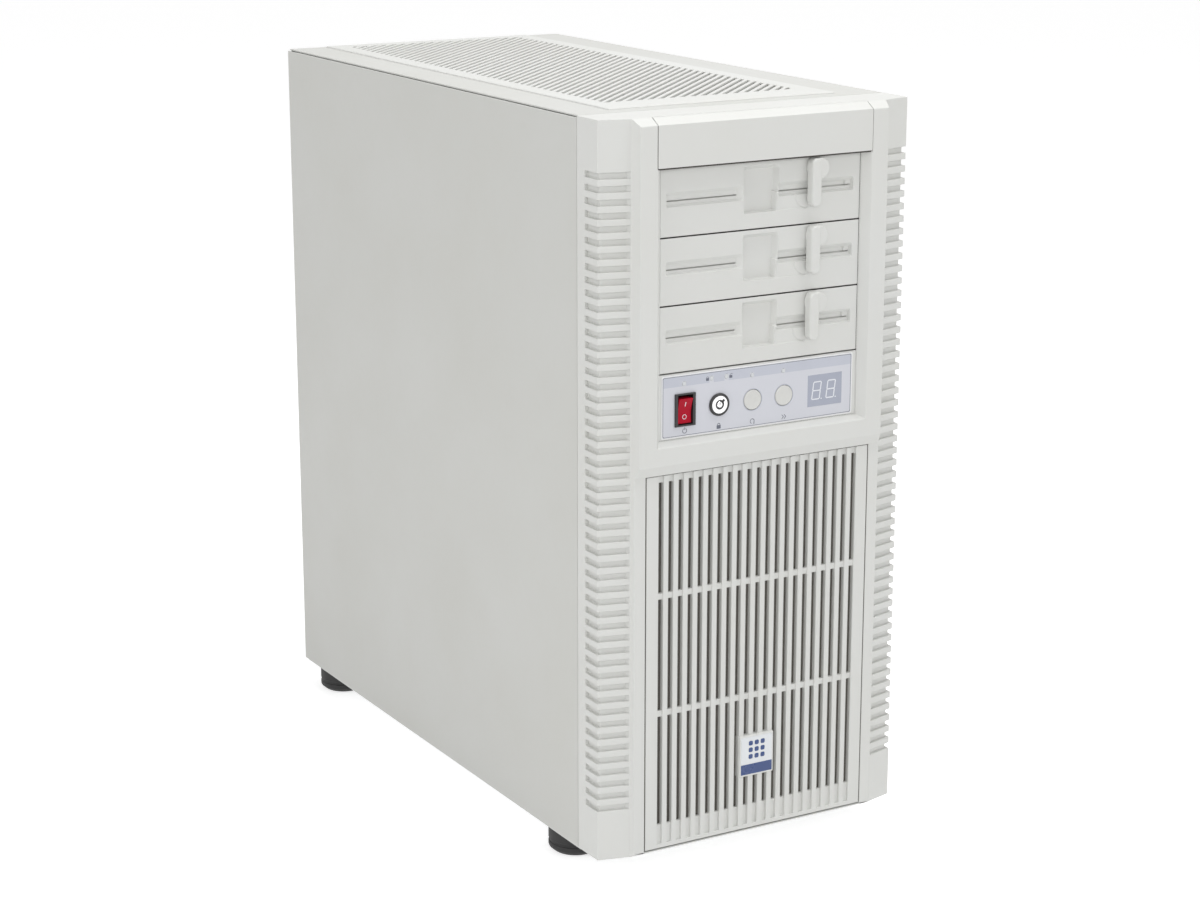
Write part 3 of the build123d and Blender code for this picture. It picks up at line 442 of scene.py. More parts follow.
def look(name):
    """The tower's finishes by name."""
    settings = bpy.context.scene.tower_finish
    plastic, paint = tuple(settings.plastic_colour), tuple(settings.paint_colour_with_side_shade)
    recipes = {
        "case_plastic": dict(clean=plastic, aged=tuple(c * f for c, f in zip(plastic, (0.96, 0.95, 0.92))),
                             amount=0.35, smooth=0.42, rough=0.55, pits=2600.0, bump=0.16, bump_mm=0.06),
        # case_paint: the panels' paint colour, darker than the plastic partly as painted shade on the side
        # panels.
        "case_paint": dict(clean=paint, aged=tuple(c * f for c, f in zip(paint, (0.97, 0.96, 0.93))),
                           amount=0.35, smooth=0.40, rough=0.52, pits=1500.0, bump=0.22, bump_mm=0.08,
                           specular=0.45),
        # painted shade: a near-black for seams, gaps and the bay covers' walls, standing for the shadow
        # there
        "painted_seam_shade": dict(clean=(0.055, 0.048, 0.042), amount=0.4, smooth=0.6, rough=0.8, bump=0.1),
        "zinc_steel": dict(clean=(0.60, 0.61, 0.61), aged=(0.47, 0.48, 0.49), amount=0.7, smooth=0.28,
                           rough=0.5, metallic=1.0, bump=0.06, pits=700.0),
        "screw_steel": dict(clean=(0.66, 0.65, 0.63), amount=0.5, smooth=0.2, rough=0.35, metallic=1.0,
                            bump=0.03),
        "lock_chrome": dict(clean=(0.85, 0.85, 0.86), amount=0.2, smooth=0.06, rough=0.16, metallic=1.0,
                            bump=0.0),
        "black_plastic": dict(clean=(0.018, 0.018, 0.019), aged=(0.035, 0.034, 0.033), amount=0.5,
                              smooth=0.35, rough=0.5, bump=0.15, bump_mm=0.06),
        "red_plastic": dict(clean=(0.44, 0.004, 0.022), aged=(0.34, 0.004, 0.018), amount=0.4, smooth=0.38,
                            rough=0.5, bump=0.04, specular=0.15),
        "overlay_print": dict(clean=(0.64, 0.65, 0.70), aged=(0.61, 0.62, 0.67), amount=0.3, smooth=0.34,
                              rough=0.42, bump=0.08, pits=4200.0, bump_mm=0.03),
        "overlay_band": dict(clean=(0.54, 0.56, 0.63), amount=0.2, smooth=0.34, rough=0.42, bump=0.05,
                             pits=4200.0, bump_mm=0.03),
        "ink": dict(clean=(0.13, 0.14, 0.18), amount=0.2, smooth=0.4, rough=0.5, bump=0.0),
        "smoked_lens": dict(clean=(0.36, 0.385, 0.47), aged=(0.33, 0.35, 0.43), amount=0.3, smooth=0.12,
                            rough=0.2, bump=0.0, coat=0.5),
        "digit": dict(clean=(0.78, 0.80, 0.84), amount=0.1, smooth=0.3, rough=0.4, bump=0.0),
        "clear_lens": dict(clean=(0.66, 0.68, 0.70), amount=0.1, smooth=0.15, rough=0.25, bump=0.0,
                           coat=0.4),
        "rubber": dict(clean=(0.016, 0.016, 0.017), aged=(0.05, 0.048, 0.045), amount=0.5, smooth=0.55,
                       rough=0.8, bump=0.3, pits=1800.0, bump_mm=0.1),
        "filter_grey": dict(clean=(0.50, 0.50, 0.48), amount=0.5, smooth=0.7, rough=0.9, bump=0.6,
                            bump_mm=0.3, pits=1400.0),
        "filter_mesh": dict(clean=(0.105, 0.096, 0.086), aged=(0.15, 0.14, 0.125), amount=0.6, smooth=0.8,
                            rough=0.95, bump=0.8, pits=1400.0, bump_mm=0.4),
        "board_green": dict(clean=(0.012, 0.075, 0.045), aged=(0.02, 0.11, 0.06), amount=0.6, smooth=0.25,
                            rough=0.4, bump=0.25, pits=420.0, bump_mm=0.15, coat=0.3),
        "fin_aluminium": dict(clean=(0.78, 0.79, 0.80), aged=(0.62, 0.63, 0.65), amount=0.5, smooth=0.22,
                              rough=0.42, metallic=1.0, bump=0.05),
        "psu_paint": dict(clean=(0.028, 0.028, 0.030), aged=(0.05, 0.05, 0.05), amount=0.4, smooth=0.4,
                          rough=0.55, bump=0.3, pits=1100.0, bump_mm=0.12),
        "badge_blue": dict(clean=(0.022, 0.055, 0.19), amount=0.3, smooth=0.25, rough=0.36, bump=0.0,
                           coat=0.3),
        "badge_face": dict(clean=(0.66, 0.68, 0.70), aged=(0.60, 0.62, 0.66), amount=0.2, smooth=0.22,
                           rough=0.3, bump=0.0, metallic=0.3),
        "button_plastic": dict(clean=(0.68, 0.68, 0.655), amount=0.4, smooth=0.35, rough=0.5, pits=1300.0,
                               bump=0.5, bump_mm=0.1),
        "white_print": dict(clean=(0.84, 0.84, 0.84), amount=0.2, smooth=0.35, rough=0.45, bump=0.0),
        "gold": dict(clean=(0.72, 0.48, 0.16), amount=0.3, smooth=0.2, rough=0.35, metallic=1.0, bump=0.0),
        "socket_blue": dict(clean=(0.03, 0.08, 0.33), amount=0.3, smooth=0.35, rough=0.5, bump=0.08),
        "socket_cream": dict(clean=(0.55, 0.52, 0.42), amount=0.3, smooth=0.4, rough=0.5, bump=0.08),
        "cable_sleeve": dict(clean=(0.02, 0.02, 0.021), aged=(0.045, 0.045, 0.045), amount=0.5, smooth=0.5,
                             rough=0.75, bump=0.8, pits=900.0, bump_mm=0.35),
        "blank_label": dict(clean=(0.62, 0.62, 0.60), amount=0.3, smooth=0.4, rough=0.5, bump=0.04),
    }
    return finish_material(name, **recipes[name])


# ---- Settings -----------------------------------------------------------------------------------

class TowerFinish(bpy.types.PropertyGroup):
    """Colours of the casing."""

    plastic_colour: bpy.props.FloatVectorProperty(
        name="Plastic colour", description="Clean colour of the moulded front", subtype="COLOR",
        size=3, min=0.0, max=1.0, default=(0.69, 0.695, 0.675))
    # The panels' own beige, set darker than the moulded front as painted shade for the sides' lesser light.
    paint_colour_with_side_shade: bpy.props.FloatVectorProperty(
        name="Paint colour", description="Clean colour of the painted panels", subtype="COLOR",
        size=3, min=0.0, max=1.0, default=(0.60, 0.603, 0.578))


class TowerShape(bpy.types.PropertyGroup):
    """Sizes of the fine work."""

    scoop_depth: bpy.props.FloatProperty(
        name="Scoop depth", description="Depth of the finger scoops, in millimetres", default=3.8, min=1.0,
        max=5.0)
    relief_step: bpy.props.FloatProperty(
        name="Relief step", description="Grid spacing of the bay covers, in millimetres", default=0.5,
        min=0.25, max=2.0)
    blade_sweep: bpy.props.FloatProperty(
        name="Blade sweep", description="Turn of a fan blade from hub to tip", subtype="ANGLE",
        default=np.radians(14), min=0.0, max=np.radians(40))


class TowerStage(bpy.types.PropertyGroup):
    """The view and the light."""

    azimuth: bpy.props.FloatProperty(
        name="Azimuth", description="How far the view stands round from the front", subtype="ANGLE",
        default=np.radians(29.96))
    elevation: bpy.props.FloatProperty(
        name="Elevation", description="How steeply the view looks down", subtype="ANGLE",
        default=np.radians(14.63))
    lens: bpy.props.FloatProperty(name="Lens", description="Focal length, in millimetres", default=79.8)
    sky: bpy.props.FloatProperty(
        name="Sky", description="Strength of the even light all round", default=0.40, min=0.0)
    key_power: bpy.props.FloatProperty(
        name="Key power", description="Strength of the main light, in watts", default=12.5, min=0.0)
    fill_power: bpy.props.FloatProperty(
        name="Fill power", description="Strength of the side light, in watts", default=15.0, min=0.0)


# ---- Stage --------------------------------------------------------------------------------------

class TOWER_OT_stage(bpy.types.Operator):
    """Pale floor, soft studio lights and the view"""

    bl_idname = "tower.stage"
    bl_label = "Stage"

    def execute(self, context):
        stage = context.scene.tower_stage
        floor_mesh = bpy.data.meshes.new("floor")
        floor_mesh.from_pydata([(-8, -8, 0), (8, -8, 0), (8, 8, 0), (-8, 8, 0)], [], [(0, 1, 2, 3)])
        floor = bpy.data.objects.new("floor", floor_mesh)
        context.scene.collection.objects.link(floor)
        pale = bpy.data.materials.new("pale_floor")
        pale.use_nodes = True
        shader = pale.node_tree.nodes["Principled BSDF"]
        set_inputs(shader, {"Base Color": (0.72, 0.72, 0.72, 1), "Roughness": 0.9,
                            "Emission Color": (1.0, 1.0, 1.0, 1)})
        seen = pale.node_tree.nodes.new("ShaderNodeLightPath")
        glow = ranged(pale.node_tree, seen.outputs["Is Diffuse Ray"], 0.0, 1.0, 0.64, 0.15)
        pale.node_tree.links.new(glow, shader.inputs["Emission Strength"])
        floor_mesh.materials.append(pale)

        context.scene.view_settings.view_transform = "Standard"
        world = context.scene.world or bpy.data.worlds.new("studio")
        context.scene.world = world
        world.use_nodes = True
        background = world.node_tree.nodes["Background"]
        background.inputs["Color"].default_value = (1.0, 1.0, 1.0, 1)
        sight = world.node_tree.nodes.new("ShaderNodeLightPath")
        level = ranged(world.node_tree, sight.outputs["Is Diffuse Ray"], 0.0, 1.0, 1.05, stage.sky)
        world.node_tree.links.new(level, background.inputs["Strength"])

        middle = Vector((0, 0, 0.25))
        lamps = (("key", (-1.3, -2.4, 1.3), 1.1, stage.key_power),
                 ("side", (-2.4, -0.5, 1.5), 1.6, stage.fill_power),
                 ("right", (1.3, -2.3, 1.2), 1.6, stage.fill_power * 0.48),
                 ("top", (0.4, -0.4, 2.4), 1.6, stage.fill_power * 1.95))
        for name, place, size, power in lamps:
            light = bpy.data.lights.new(name, "AREA")
            light.shape, light.size, light.energy = "DISK", size, power
            lamp = bpy.data.objects.new(name, light)
            context.scene.collection.objects.link(lamp)
            lamp.location = place
            lamp.rotation_euler = (middle - lamp.location).to_track_quat("-Z", "Y").to_euler()

        camera_data = bpy.data.cameras.new("view")
        camera = bpy.data.objects.new("view", camera_data)
        context.scene.collection.objects.link(camera)
        camera_data.lens, camera_data.sensor_width = stage.lens, 36.0
        camera_data.clip_start, camera_data.clip_end = 0.05, 50.0
        flat = np.cos(stage.elevation)
        heading = Vector((np.sin(stage.azimuth) * flat, np.cos(stage.azimuth) * flat,
                          -np.sin(stage.elevation)))
        camera.location = Vector(at(-900.0, -1355.0, 683.0) * MM)
        camera.rotation_mode = "QUATERNION"
        camera.rotation_quaternion = heading.to_track_quat("-Z", "Y")
        context.scene.camera = camera
        return {"FINISHED"}


# ---- Frame nodes that keep their shape ----------------------------------------------------------

NODE_FINISH = {
    "case_plastic": (("front_bezel", 0.55), ("top_flap", 0.5), ("control_panel", 0.3),
                     ("top_vent_panel", 0.3), ("front_grille", 0.4)),
    "case_paint": (("top_cover", 0.15), ("left_side_panel", 0.5), ("right_side_panel", 0.5)),
    "zinc_steel": (("base_pan", 0.15), ("rear_panel", 0.15), ("front_plate", 0.15),
                   ("motherboard_tray", 0.15), ("top_frame", 0.15), ("bay_cage", 0.15),
                   ("drive_cage", 0.15), ("slot_covers", 0.15), ("io_shield", 0.1)),
    "screw_steel": (("foot_screws", 0.2), ("flap_hinge_pins", 0.1), ("standoffs", 0.2)),
    "black_plastic": (("power_switch_housing", 0.3), ("front_fan_frame_lower", 0.4),
                      ("front_fan_frame_upper", 0.4), ("rear_fan_frame", 0.4),
                      ("graphics_card", 0.4), ("io_module", 0.1)),
    "overlay_print": (("control_overlay", 0.0),),
    "smoked_lens": (("display_window", 0.15),),
    "clear_lens": (("led_lenses", 0.15),),
    "filter_mesh": (("front_dust_filter", 0.0),),
    "filter_grey": (("top_dust_filter", 0.0),),
    "board_green": (("control_board", 0.0), ("memory_modules", 0.1)),
    "fin_aluminium": (("cpu_cooler", 0.2), ("hard_drives", 0.6)),
    "psu_paint": (("power_supply", 0.3),),
    "cable_sleeve": (("main_power_cable", 0.0),),
}


def dress(names):
    """Gives the named finishes to their frame nodes and softens the nodes' edges."""
    for finish in names:
        for node, edge in NODE_FINISH[finish]:
            piece = frame["nodes"][node]
            piece.data.materials.clear()
            piece.data.materials.append(look(finish))
            soften(node, edge)


class TOWER_OT_frame_nodes(bpy.types.Operator):
    """Finishes and broken edges for the nodes that keep their shape"""

    bl_idname = "tower.frame_nodes"
    bl_label = "Casing, chassis and inner parts"

    def execute(self, context):
        dress(NODE_FINISH)
        return {"FINISHED"}


# ---- Bay covers and levers ----------------------------------------------------------------------

def step_up(value, start, width):
    """A rise from 0 to 1 over the width from start: mostly a straight ramp, a fifth of it three t squared
    less two t cubed."""
    t = np.clip((value - start) / width, 0, 1)
    return 0.8 * t + 0.2 * t * t * (3 - 2 * t)


def well(x, y, x0, x1, y0, y1, depth, slopes):
    """A rectangular hollow: the depth times the product of four smooth rises, one from each edge inward."""
    left, right, low, high = slopes
    across = step_up(x, x0, left) * step_up(-x, -x1, right)
    return depth * across * step_up(y, y0, low) * step_up(-y, -y1, high)


def lines(start, stop, step, features):
    """Grid lines at an even step, with three more close round each feature's edge."""
    close = np.concatenate([np.asarray(features, float) + offset for offset in (-0.12, 0.12, 0.4)])
    every = np.concatenate([np.arange(start, stop, step), [stop], close])
    every = np.unique(np.round(every[(every >= start) & (every <= stop)], 3))
    return every[np.concatenate([[True], np.diff(every) > 0.06])]


def cover_surface(middle, half_width, half_height, scoop, step):
    """A bay cover's face: its depth is the deepest of the wells at each point, plus a rounded rim, and its
    edge is carried straight back to a flat rear."""
    x = lines(-half_width, half_width, step, (-69, -17.4, -13.0, 9.2, 10.2, 12.6, 44, 64, 68.3))
    y = lines(-half_height, half_height, step, (-10.9, -10.1, -2.5, -1.4, 0.5, 1.5, 4.0, 6.4, 15.7, 18.2))
    gx, gy = np.meshgrid(x, y)
    wells = [
        well(gx, gy, -69, -13.2, -2.6, 6.5, 2.3, (0.7, 4.2, 1.1, 2.5)),
        well(gx, gy, 12.4, 68.6, -2.4, 6.5, 2.3, (0.5, 0.7, 1.1, 2.5)),
        well(gx, gy, -68, -17, 0.3, 1.5, 4.4, (0.5, 0.5, 0.3, 0.3)),
        well(gx, gy, 13, 67.6, 0.3, 1.5, 4.4, (0.5, 0.5, 0.3, 0.3)),
        well(gx, gy, 44, 64.2, 0.3, 4.4, 3.4, (0.4, 0.5, 0.4, 0.5)),
        well(gx, gy, -13.2, 12.7, 0.6, 18.3, scoop, (0.6, 2.6, 1.0, 2.6)),
        well(gx, gy, -13.0, 10.8, -11.0, 3.0, scoop, (0.6, 1.5, 0.8, 1.0)),
        well(gx, gy, 11.6, 35.2, -10.9, 0.2, 0.35, (0.4, 0.4, 0.4, 0.4)),
    ]
    reach = np.hypot(gx - 33.0, gy + 2.6)
    quarter = (gx < 33.5) & (gy < -2.2)
    wells.append(np.where(quarter, 0.75 * np.exp(-((reach - 8.1) / 0.33) ** 2), 0.0))
    depth = np.max(wells, axis=0)
    rim = 0.45
    inward = np.minimum(half_width - np.abs(gx), half_height - np.abs(gy))
    short = np.clip(rim - inward, 0, rim)
    depth += rim - np.sqrt(np.maximum(rim ** 2 - short ** 2, 0))
    local = np.stack([gx, gy, -depth], -1)
    face, faces = skin(local)
    border = np.concatenate([local[0], local[1:, -1], local[-1, -2::-1], local[-2:0:-1, 0]])
    back = border.copy()
    back[:, 2] = COVER_REAR
    # The edge wall and flat rear are returned apart from the face, to take painted shade.
    wall = skin(np.stack([back, border]), closed_v=True)
    rear = (back, [list(range(len(back)))[::-1]])
    origin = at(0, COVER_DEPTH, middle)
    return [shifted((face, faces), origin)], [shifted(part, origin) for part in (wall, rear)]


def lever_parts(pivot_x, pivot_h, middle):
    """An eject lever: a round cap, and in front of its left side a bar whose outline is two half circles
    joined by straight sides, domed along its length, with the pivot pin and its clip behind."""
    angle = np.linspace(0, np.pi / 2, 5)
    edge = 0.9
    top = 0.35
    rim = [(LEVER_RADIUS - edge * (1 - np.cos(a)), top - edge * (1 - np.sin(a))) for a in angle]
    cap = shifted(turned([(LEVER_RADIUS, -5.6), *rim]), at(pivot_x, 0, pivot_h))
    wide = 7.2
    bar_high, bar_low = 6.6, middle - 9.8 - pivot_h
    bar_x = -6.6 + wide / 2
    bar_part = slab(wide, bar_high - bar_low, wide / 2 - 0.05, -4.6, 1.2, edge=1.3, steps=9)
    arm = shifted(bar_part, at(pivot_x + bar_x, 0, pivot_h + (bar_high + bar_low) / 2))
    pin = shifted(turned([(2.0, -10.2), (2.0, -5.5)], 20), at(pivot_x, 0, pivot_h))
    clip = shifted(turned([(3.4, -11.7), (3.4, -10.1)], 20), at(pivot_x, 0, pivot_h))
    return [cap, arm, pin, clip]


class TOWER_OT_bay_covers(bpy.types.Operator):
    """Blank bay covers with grooves and finger scoops, and their eject levers"""

    bl_idname = "tower.bay_covers"
    bl_label = "Bay covers and levers"

    def execute(self, context):
        shape = context.scene.tower_shape
        for number in (1, 2, 3):
            low, high = node_box(f"bay_cover_{number}")
            middle = (low[2] + high[2]) / 2 - BASE
            half_width = (high[0] - low[0]) / 2 - 0.2
            half_height = (high[2] - low[2]) / 2
            face, parts = cover_surface(middle, half_width, half_height, shape.scoop_depth,
                                        shape.relief_step)
            for side in (-1, 1):
                clip = brick(-0.75, 0.75, -9, 9, -20, -3)
                parts.append(shifted(clip, at(side * (half_width - 0.55), COVER_DEPTH, middle)))
            # Walls, rear and clips take painted shade: near-black for the shadow in the gaps round each
            # cover.
            build(f"bay_cover_face_{number}", face, "case_plastic", "chassis", (f"bay_cover_{number}",),
                  rear=parts, rear_finish="painted_seam_shade")
            lever_high = node_box(f"bay_lever_{number}")[1]
            pivot_h = lever_high[2] - BASE - LEVER_RADIUS
            parts = lever_parts(LEVER_PIVOT_X, pivot_h, middle)
            build(f"eject_lever_{number}", parts, "case_plastic", f"lever_{number}",
                  (f"bay_lever_{number}",))
        return {"FINISHED"}


# ---- Control panel ------------------------------------------------------------------------------

def arc_band(radius, width, start, stop, steps=24):
    """A flat bent strip: the outer arc followed by the inner arc backwards, angles in degrees."""
    angle = np.radians(np.linspace(start, stop, steps))
    ring = np.stack([np.cos(angle), np.sin(angle)], -1)
    return np.concatenate([ring * (radius + width / 2), ring[::-1] * (radius - width / 2)])


def bar(x0, y0, x1, y1, width):
    """A straight strip between two points, with pointed ends as long as half its width."""
    start, stop = np.array([x0, y0], float), np.array([x1, y1], float)
    along = (stop - start) / np.linalg.norm(stop - start)
    across = np.array([-along[1], along[0]]) * width / 2
    tip = along * width / 2
    return np.array([start - tip, start - across, stop - across, stop + tip, stop + across, start + across])


def printed(outlines, x, h, d, thick=0.05):
    """Flat printed shapes on an upright face at depth d."""
    return [shifted(plate(outline, 0.0, thick), at(x, d, h)) for outline in outlines]


def border(width, height, line, thick):
    """A raised rectangular frame: two rounded outlines, one inside the other, at two levels."""
    loops = [(0.0, 0.0), (0.0, thick), (line, thick), (line, 0.0)]
    rings = []
    for inset, level in loops:
        ring = rounded_outline(width - 2 * inset, height - 2 * inset, 1.0, 5)
        rings.append(np.column_stack([ring, np.full(len(ring), level)]))
    return skin(np.stack(rings), closed_u=True, closed_v=True)


def digit_outlines(height=11.2, width=5.8, line=0.8, lean=0.13):
    """The seven bars and the point of one figure, leaning to the right in proportion to their height."""
    w, q = width / 2, height / 2
    g = 0.4
    bars = [bar(-w + g, level, w - g, level, line) for level in (q, 0, -q)]
    bars += [bar(side, foot + g, side, foot + q - g, line) for foot in (0, -q) for side in (-w, w)]
    point = rounded_outline(0.9, 0.9, 0.4, 4) + [w + 1.5, -q]
    return [np.column_stack([b[:, 0] + lean * b[:, 1], b[:, 1]]) for b in bars + [point]]


def rocker_parts(origin, way, tilt):
    """A rocker switch cap with its I and O marks. Its face is a shallow parabola, 4.5 mm plus 1.3 mm at the
    ends in front of the pivot, its back runs to a ridge, and all is turned by the tilt about the pivot."""
    half_long, crown, dish = 8.2, 4.5, 1.3
    along = np.linspace(half_long, -half_long, 17)
    face = np.column_stack([-crown - dish * (along / half_long) ** 2, along])
    outline = np.vstack([face, [(2.2, -6.8), (4.6, 0.0), (2.2, 6.8)]])
    turn = np.array([[np.cos(tilt), np.sin(tilt)], [-np.sin(tilt), np.cos(tilt)]])
    if way > 0:
        outline = outline[::-1] * [-1, 1]
    cap = [shifted(plate(outline @ turn, -5.0, 5.0), origin, BACK, UP, RIGHT),
           shifted(turned([(1.0, -6.2), (1.0, 6.2)], 16), origin, BACK, UP, RIGHT)]
    marks = []
    for level, mark in ((4.3, plate(rounded_outline(0.55, 3.2, 0.27), 0.0, 0.06)),
                        (-4.1, hoop(1.2, 1.55, 0.0, 0.06, 24))):
        foot = np.array([way * (crown + dish * (level / half_long) ** 2 + 0.02), level]) @ turn
        slope = np.array([way * 2 * dish * level / half_long ** 2, 1.0]) @ turn
        slope /= np.linalg.norm(slope)
        lengthwise = slope[0] * BACK + slope[1] * UP
        outward = way * (slope[1] * BACK - slope[0] * UP)
        place = origin + foot[0] * BACK + foot[1] * UP
        marks.append(shifted(mark, place, np.cross(lengthwise, outward), lengthwise, outward))
    return cap, marks


class TOWER_OT_switches(bpy.types.Operator):
    """Rocker switches and the round key lock"""

    bl_idname = "tower.switches"
    bl_label = "Switches and lock"

    def execute(self, context):
        tilt = np.radians(8.0)
        rockers = (("power_rocker", "rocker", -1, "red_plastic"),
                   ("psu_rocker", "supply_rocker", 1, "black_plastic"))
        for node, body, way, finish in rockers:
            origin = pivot_of(body)
            cap, marks = rocker_parts(origin, way, tilt)
            build(f"{node}_cap", cap, finish, body, (node,), bevel=0.45)
            build(f"{node}_marks", marks, "digit", body)

        low, high = node_box("lock_barrel")
        x, d, h = front_of("lock_barrel")
        radius, deep = (high[0] - low[0]) / 2, high[1] - low[1]
        barrel = [(radius - 0.35, -deep), (radius - 0.35, -1.3), (radius, -1.3), (radius, -0.35),
                  (radius - 0.35, 0.0), (radius - 1.45, 0.0), (radius - 1.6, -0.5), (3.08, -0.5),
                  (3.08, -deep)]
        build("lock_collar", [shifted(collar(barrel, 48), at(x, d, h))], "black_plastic", "chassis",
              ("lock_barrel",))
        face = hoop(3.12, radius - 1.65, -0.5, -0.12, 48)
        build("lock_face", [shifted(face, at(x, d, h))], "lock_chrome", "chassis")
        notch_turn = np.radians(42)
        notch = rounded_outline(1.5, 1.7, 0.2) + [3.7, 0.0]
        spin = np.array([[np.cos(notch_turn), np.sin(notch_turn)],
                         [-np.sin(notch_turn), np.cos(notch_turn)]])
        build("lock_notch", [shifted(plate(notch @ spin, -0.12, -0.07), at(x, d, h))],
              "black_plastic", "chassis")

        d, deep = node_box("lock_cylinder")[0][1] - FRONT, 22.4
        sleeve = turned([(3.0, -deep), (3.0, -0.9), (1.95, -0.9)], 40)
        post = turned([(1.95, -2.0), (1.95, -0.45), (1.75, -0.2)], 32)
        cam = brick(-3.0, 3.0, -3.0, 16.0, -23.6, -22.0)
        index = plate(rounded_outline(0.5, 1.7, 0.2) + [0.0, 0.8], -0.2, -0.15)
        origin = at(x, d, h)
        build("lock_sleeve", [shifted(sleeve, origin), shifted(index, origin)], "black_plastic",
              "lock", ("lock_cylinder",))
        build("lock_post", [shifted(post, origin), shifted(cam, origin)], "lock_chrome", "lock")
        return {"FINISHED"}


class TOWER_OT_controls(bpy.types.Operator):
    """Printed overlay, marks, buttons, figures and switch details of the control panel"""

    bl_idname = "tower.controls"
    bl_label = "Control panel"

    def execute(self, context):
        low, high = node_box("control_overlay")
        middle_x, face, middle_h = front_of("control_overlay")
        lens_x, lens_d, lens_h = front_of("display_window")

        figures = []
        for offset in (-6.3, 4.6):
            figures += printed(digit_outlines(), lens_x + offset, lens_h, lens_d, 0.06)
        build("display_figures", figures, "digit", "chassis")

        holes = ((-55.6, 307.5), (-35.5, 308.7), (-24.5, 308.7), (-5.5, 307.3), (18.0, 307.3))
        edges_x = [-70.5] + [x + s * 1.6 for x, _ in holes for s in (-1, 1)] + [70.5]
        strips = [[(a, 306.0), (b, 306.0), (b, 312.4), (a, 312.4)]
                  for a, b in zip(edges_x[::2], edges_x[1::2])]
        for x, h in holes:
            strips.append([(x - 1.6, h + 1.6), (x + 1.6, h + 1.6), (x + 1.6, 312.4), (x - 1.6, 312.4)])
        build("overlay_band", printed(strips, middle_x + 0.5, 0, face, 0.04), "overlay_band",
              "chassis")

        marks = printed([arc_band(1.5, 0.4, 115, 425), bar(0, 0.6, 0, 2.2, 0.4)], -55, 277.4, face)
        marks += printed([arc_band(1.0, 0.4, 0, 180) + [0, 0.5], rounded_outline(3.0, 2.4, 0.4) - [0, 0.8]],
                         -30, 277.6, face)
        marks += printed([arc_band(1.5, 0.4, -30, 250), bar(1.3, -1.9, 1.3, -0.5, 0.5)], -5, 277.4, face)
        for shift in (-1.1, 0.7):
            marks += printed([bar(shift, -1.3, shift + 1.2, 0, 0.4), bar(shift, 1.3, shift + 1.2, 0, 0.4)],
                             18.5, 277.4, face)
        latch = rounded_outline(2.2, 1.8, 0.3) - [0, 0.5]
        marks += printed([arc_band(0.8, 0.3, 0, 180) + [0, 0.4], latch], -38.6, 308.7, face)
        marks += printed([arc_band(0.8, 0.3, 20, 200) + [0.5, 0.6], latch], -21.4, 308.7, face)
        panel_w, panel_h = high[0] - low[0], high[2] - low[2]
        panel_middle = at(middle_x, face, middle_h)
        marks.append(shifted(border(panel_w - 2.0, panel_h - 2.0, 0.28, 0.05), panel_middle))
        build("panel_marks", marks, "ink", "chassis")
        build("panel_border", [shifted(border(panel_w, panel_h, 0.7, 0.07), panel_middle)],
              "white_print", "chassis")

        for name, body in (("reset_button", "reset"), ("turbo_button", "turbo")):
            x, d, h = front_of(name)
            cap = slab(13.0, 13.0, 6.5, -4.0, 0.0, edge=0.7, steps=12, sink=0.35)
            stem = turned([(1.5, -11.0), (1.5, -3.9)], 20)
            origin = at(x, d, h)
            build(f"{name}_cap", [shifted(cap, origin), shifted(stem, origin)], "button_plastic",
                  body, (name,))
            ring = shifted(hoop(6.85, 7.35, 0.0, 0.05, 48), at(x, face, h))
            build(f"{name}_ring", [ring], "overlay_band", "chassis")
        return {"FINISHED"}


class TOWER_OT_seams(bpy.types.Operator):
    """Backing behind the corner combs, and near-black strips of painted shade in the seams round the flap,
    the grille and the control panel
    """

    bl_idname = "tower.seams"
    bl_label = "Comb backing and seams"

    def execute(self, context):
        backing = []
        for side in (-1, 1):
            inner = side * (HALF - 3.05)
            backing.append(solid(inner, inner - side * 5.1, 29.0, 29.9, 4.0, 446.0))
            floor = [(111.2, 29.2), (111.2, 14.03), (95.0, 9.86), (93.2, 7.5), (93.2, 12.0), (109.6, 16.2),
                     (109.6, 29.2)]
            outline = [(side * x, d) for x, d in floor[::-side]]
            backing.append(shifted(plate(outline, 30.0, 445.0), at(0, 0, 0), *FROM_ABOVE))
        build("comb_backing", backing, "case_plastic", "chassis")
        flap_low, flap_high = node_box("top_flap")
        flap_half, flap_foot = flap_high[0], flap_low[2] - BASE
        grille_low, grille_high = node_box("front_grille")
        grille_d, grille_half = grille_low[1] - FRONT, grille_high[0]
        foot, top = grille_low[2] - BASE, grille_high[2] - BASE
        panel_low, panel_high = node_box("control_panel")
        panel_half, panel_foot = panel_high[0], panel_low[2] - BASE
        # Painted shade: near-black strips in the gaps under the flap, over and beside the grille and round
        # the control panel, standing for the shadow there.
        strips = [solid(-flap_half, flap_half, 0.7, 2.4, flap_foot - 0.95, flap_foot - 0.1),
                  solid(-grille_half, grille_half, grille_d + 0.6, grille_d + 2.0, top + 0.05, top + 0.66),
                  solid(-panel_half - 0.2, panel_half + 0.2, 5.85, 8.0, panel_foot - 0.62,
                        panel_foot - 0.04)]
        for side in (-1, 1):
            strips.append(solid(side * (flap_half + 0.05), side * (flap_half + 0.3), 0.5, 2.5, flap_foot,
                                flap_foot + 26.0))
            strips.append(solid(side * (grille_half + 0.05), side * (grille_half + 0.66), grille_d + 0.6,
                                grille_d + 2.0, foot, top))
            strips.append(solid(side * (panel_half + 0.03), side * (panel_half + 0.27), 6.3, 8.0,
                                panel_foot, flap_foot - 1.6))
        build("seams", strips, "painted_seam_shade", "chassis")
        return {"FINISHED"}


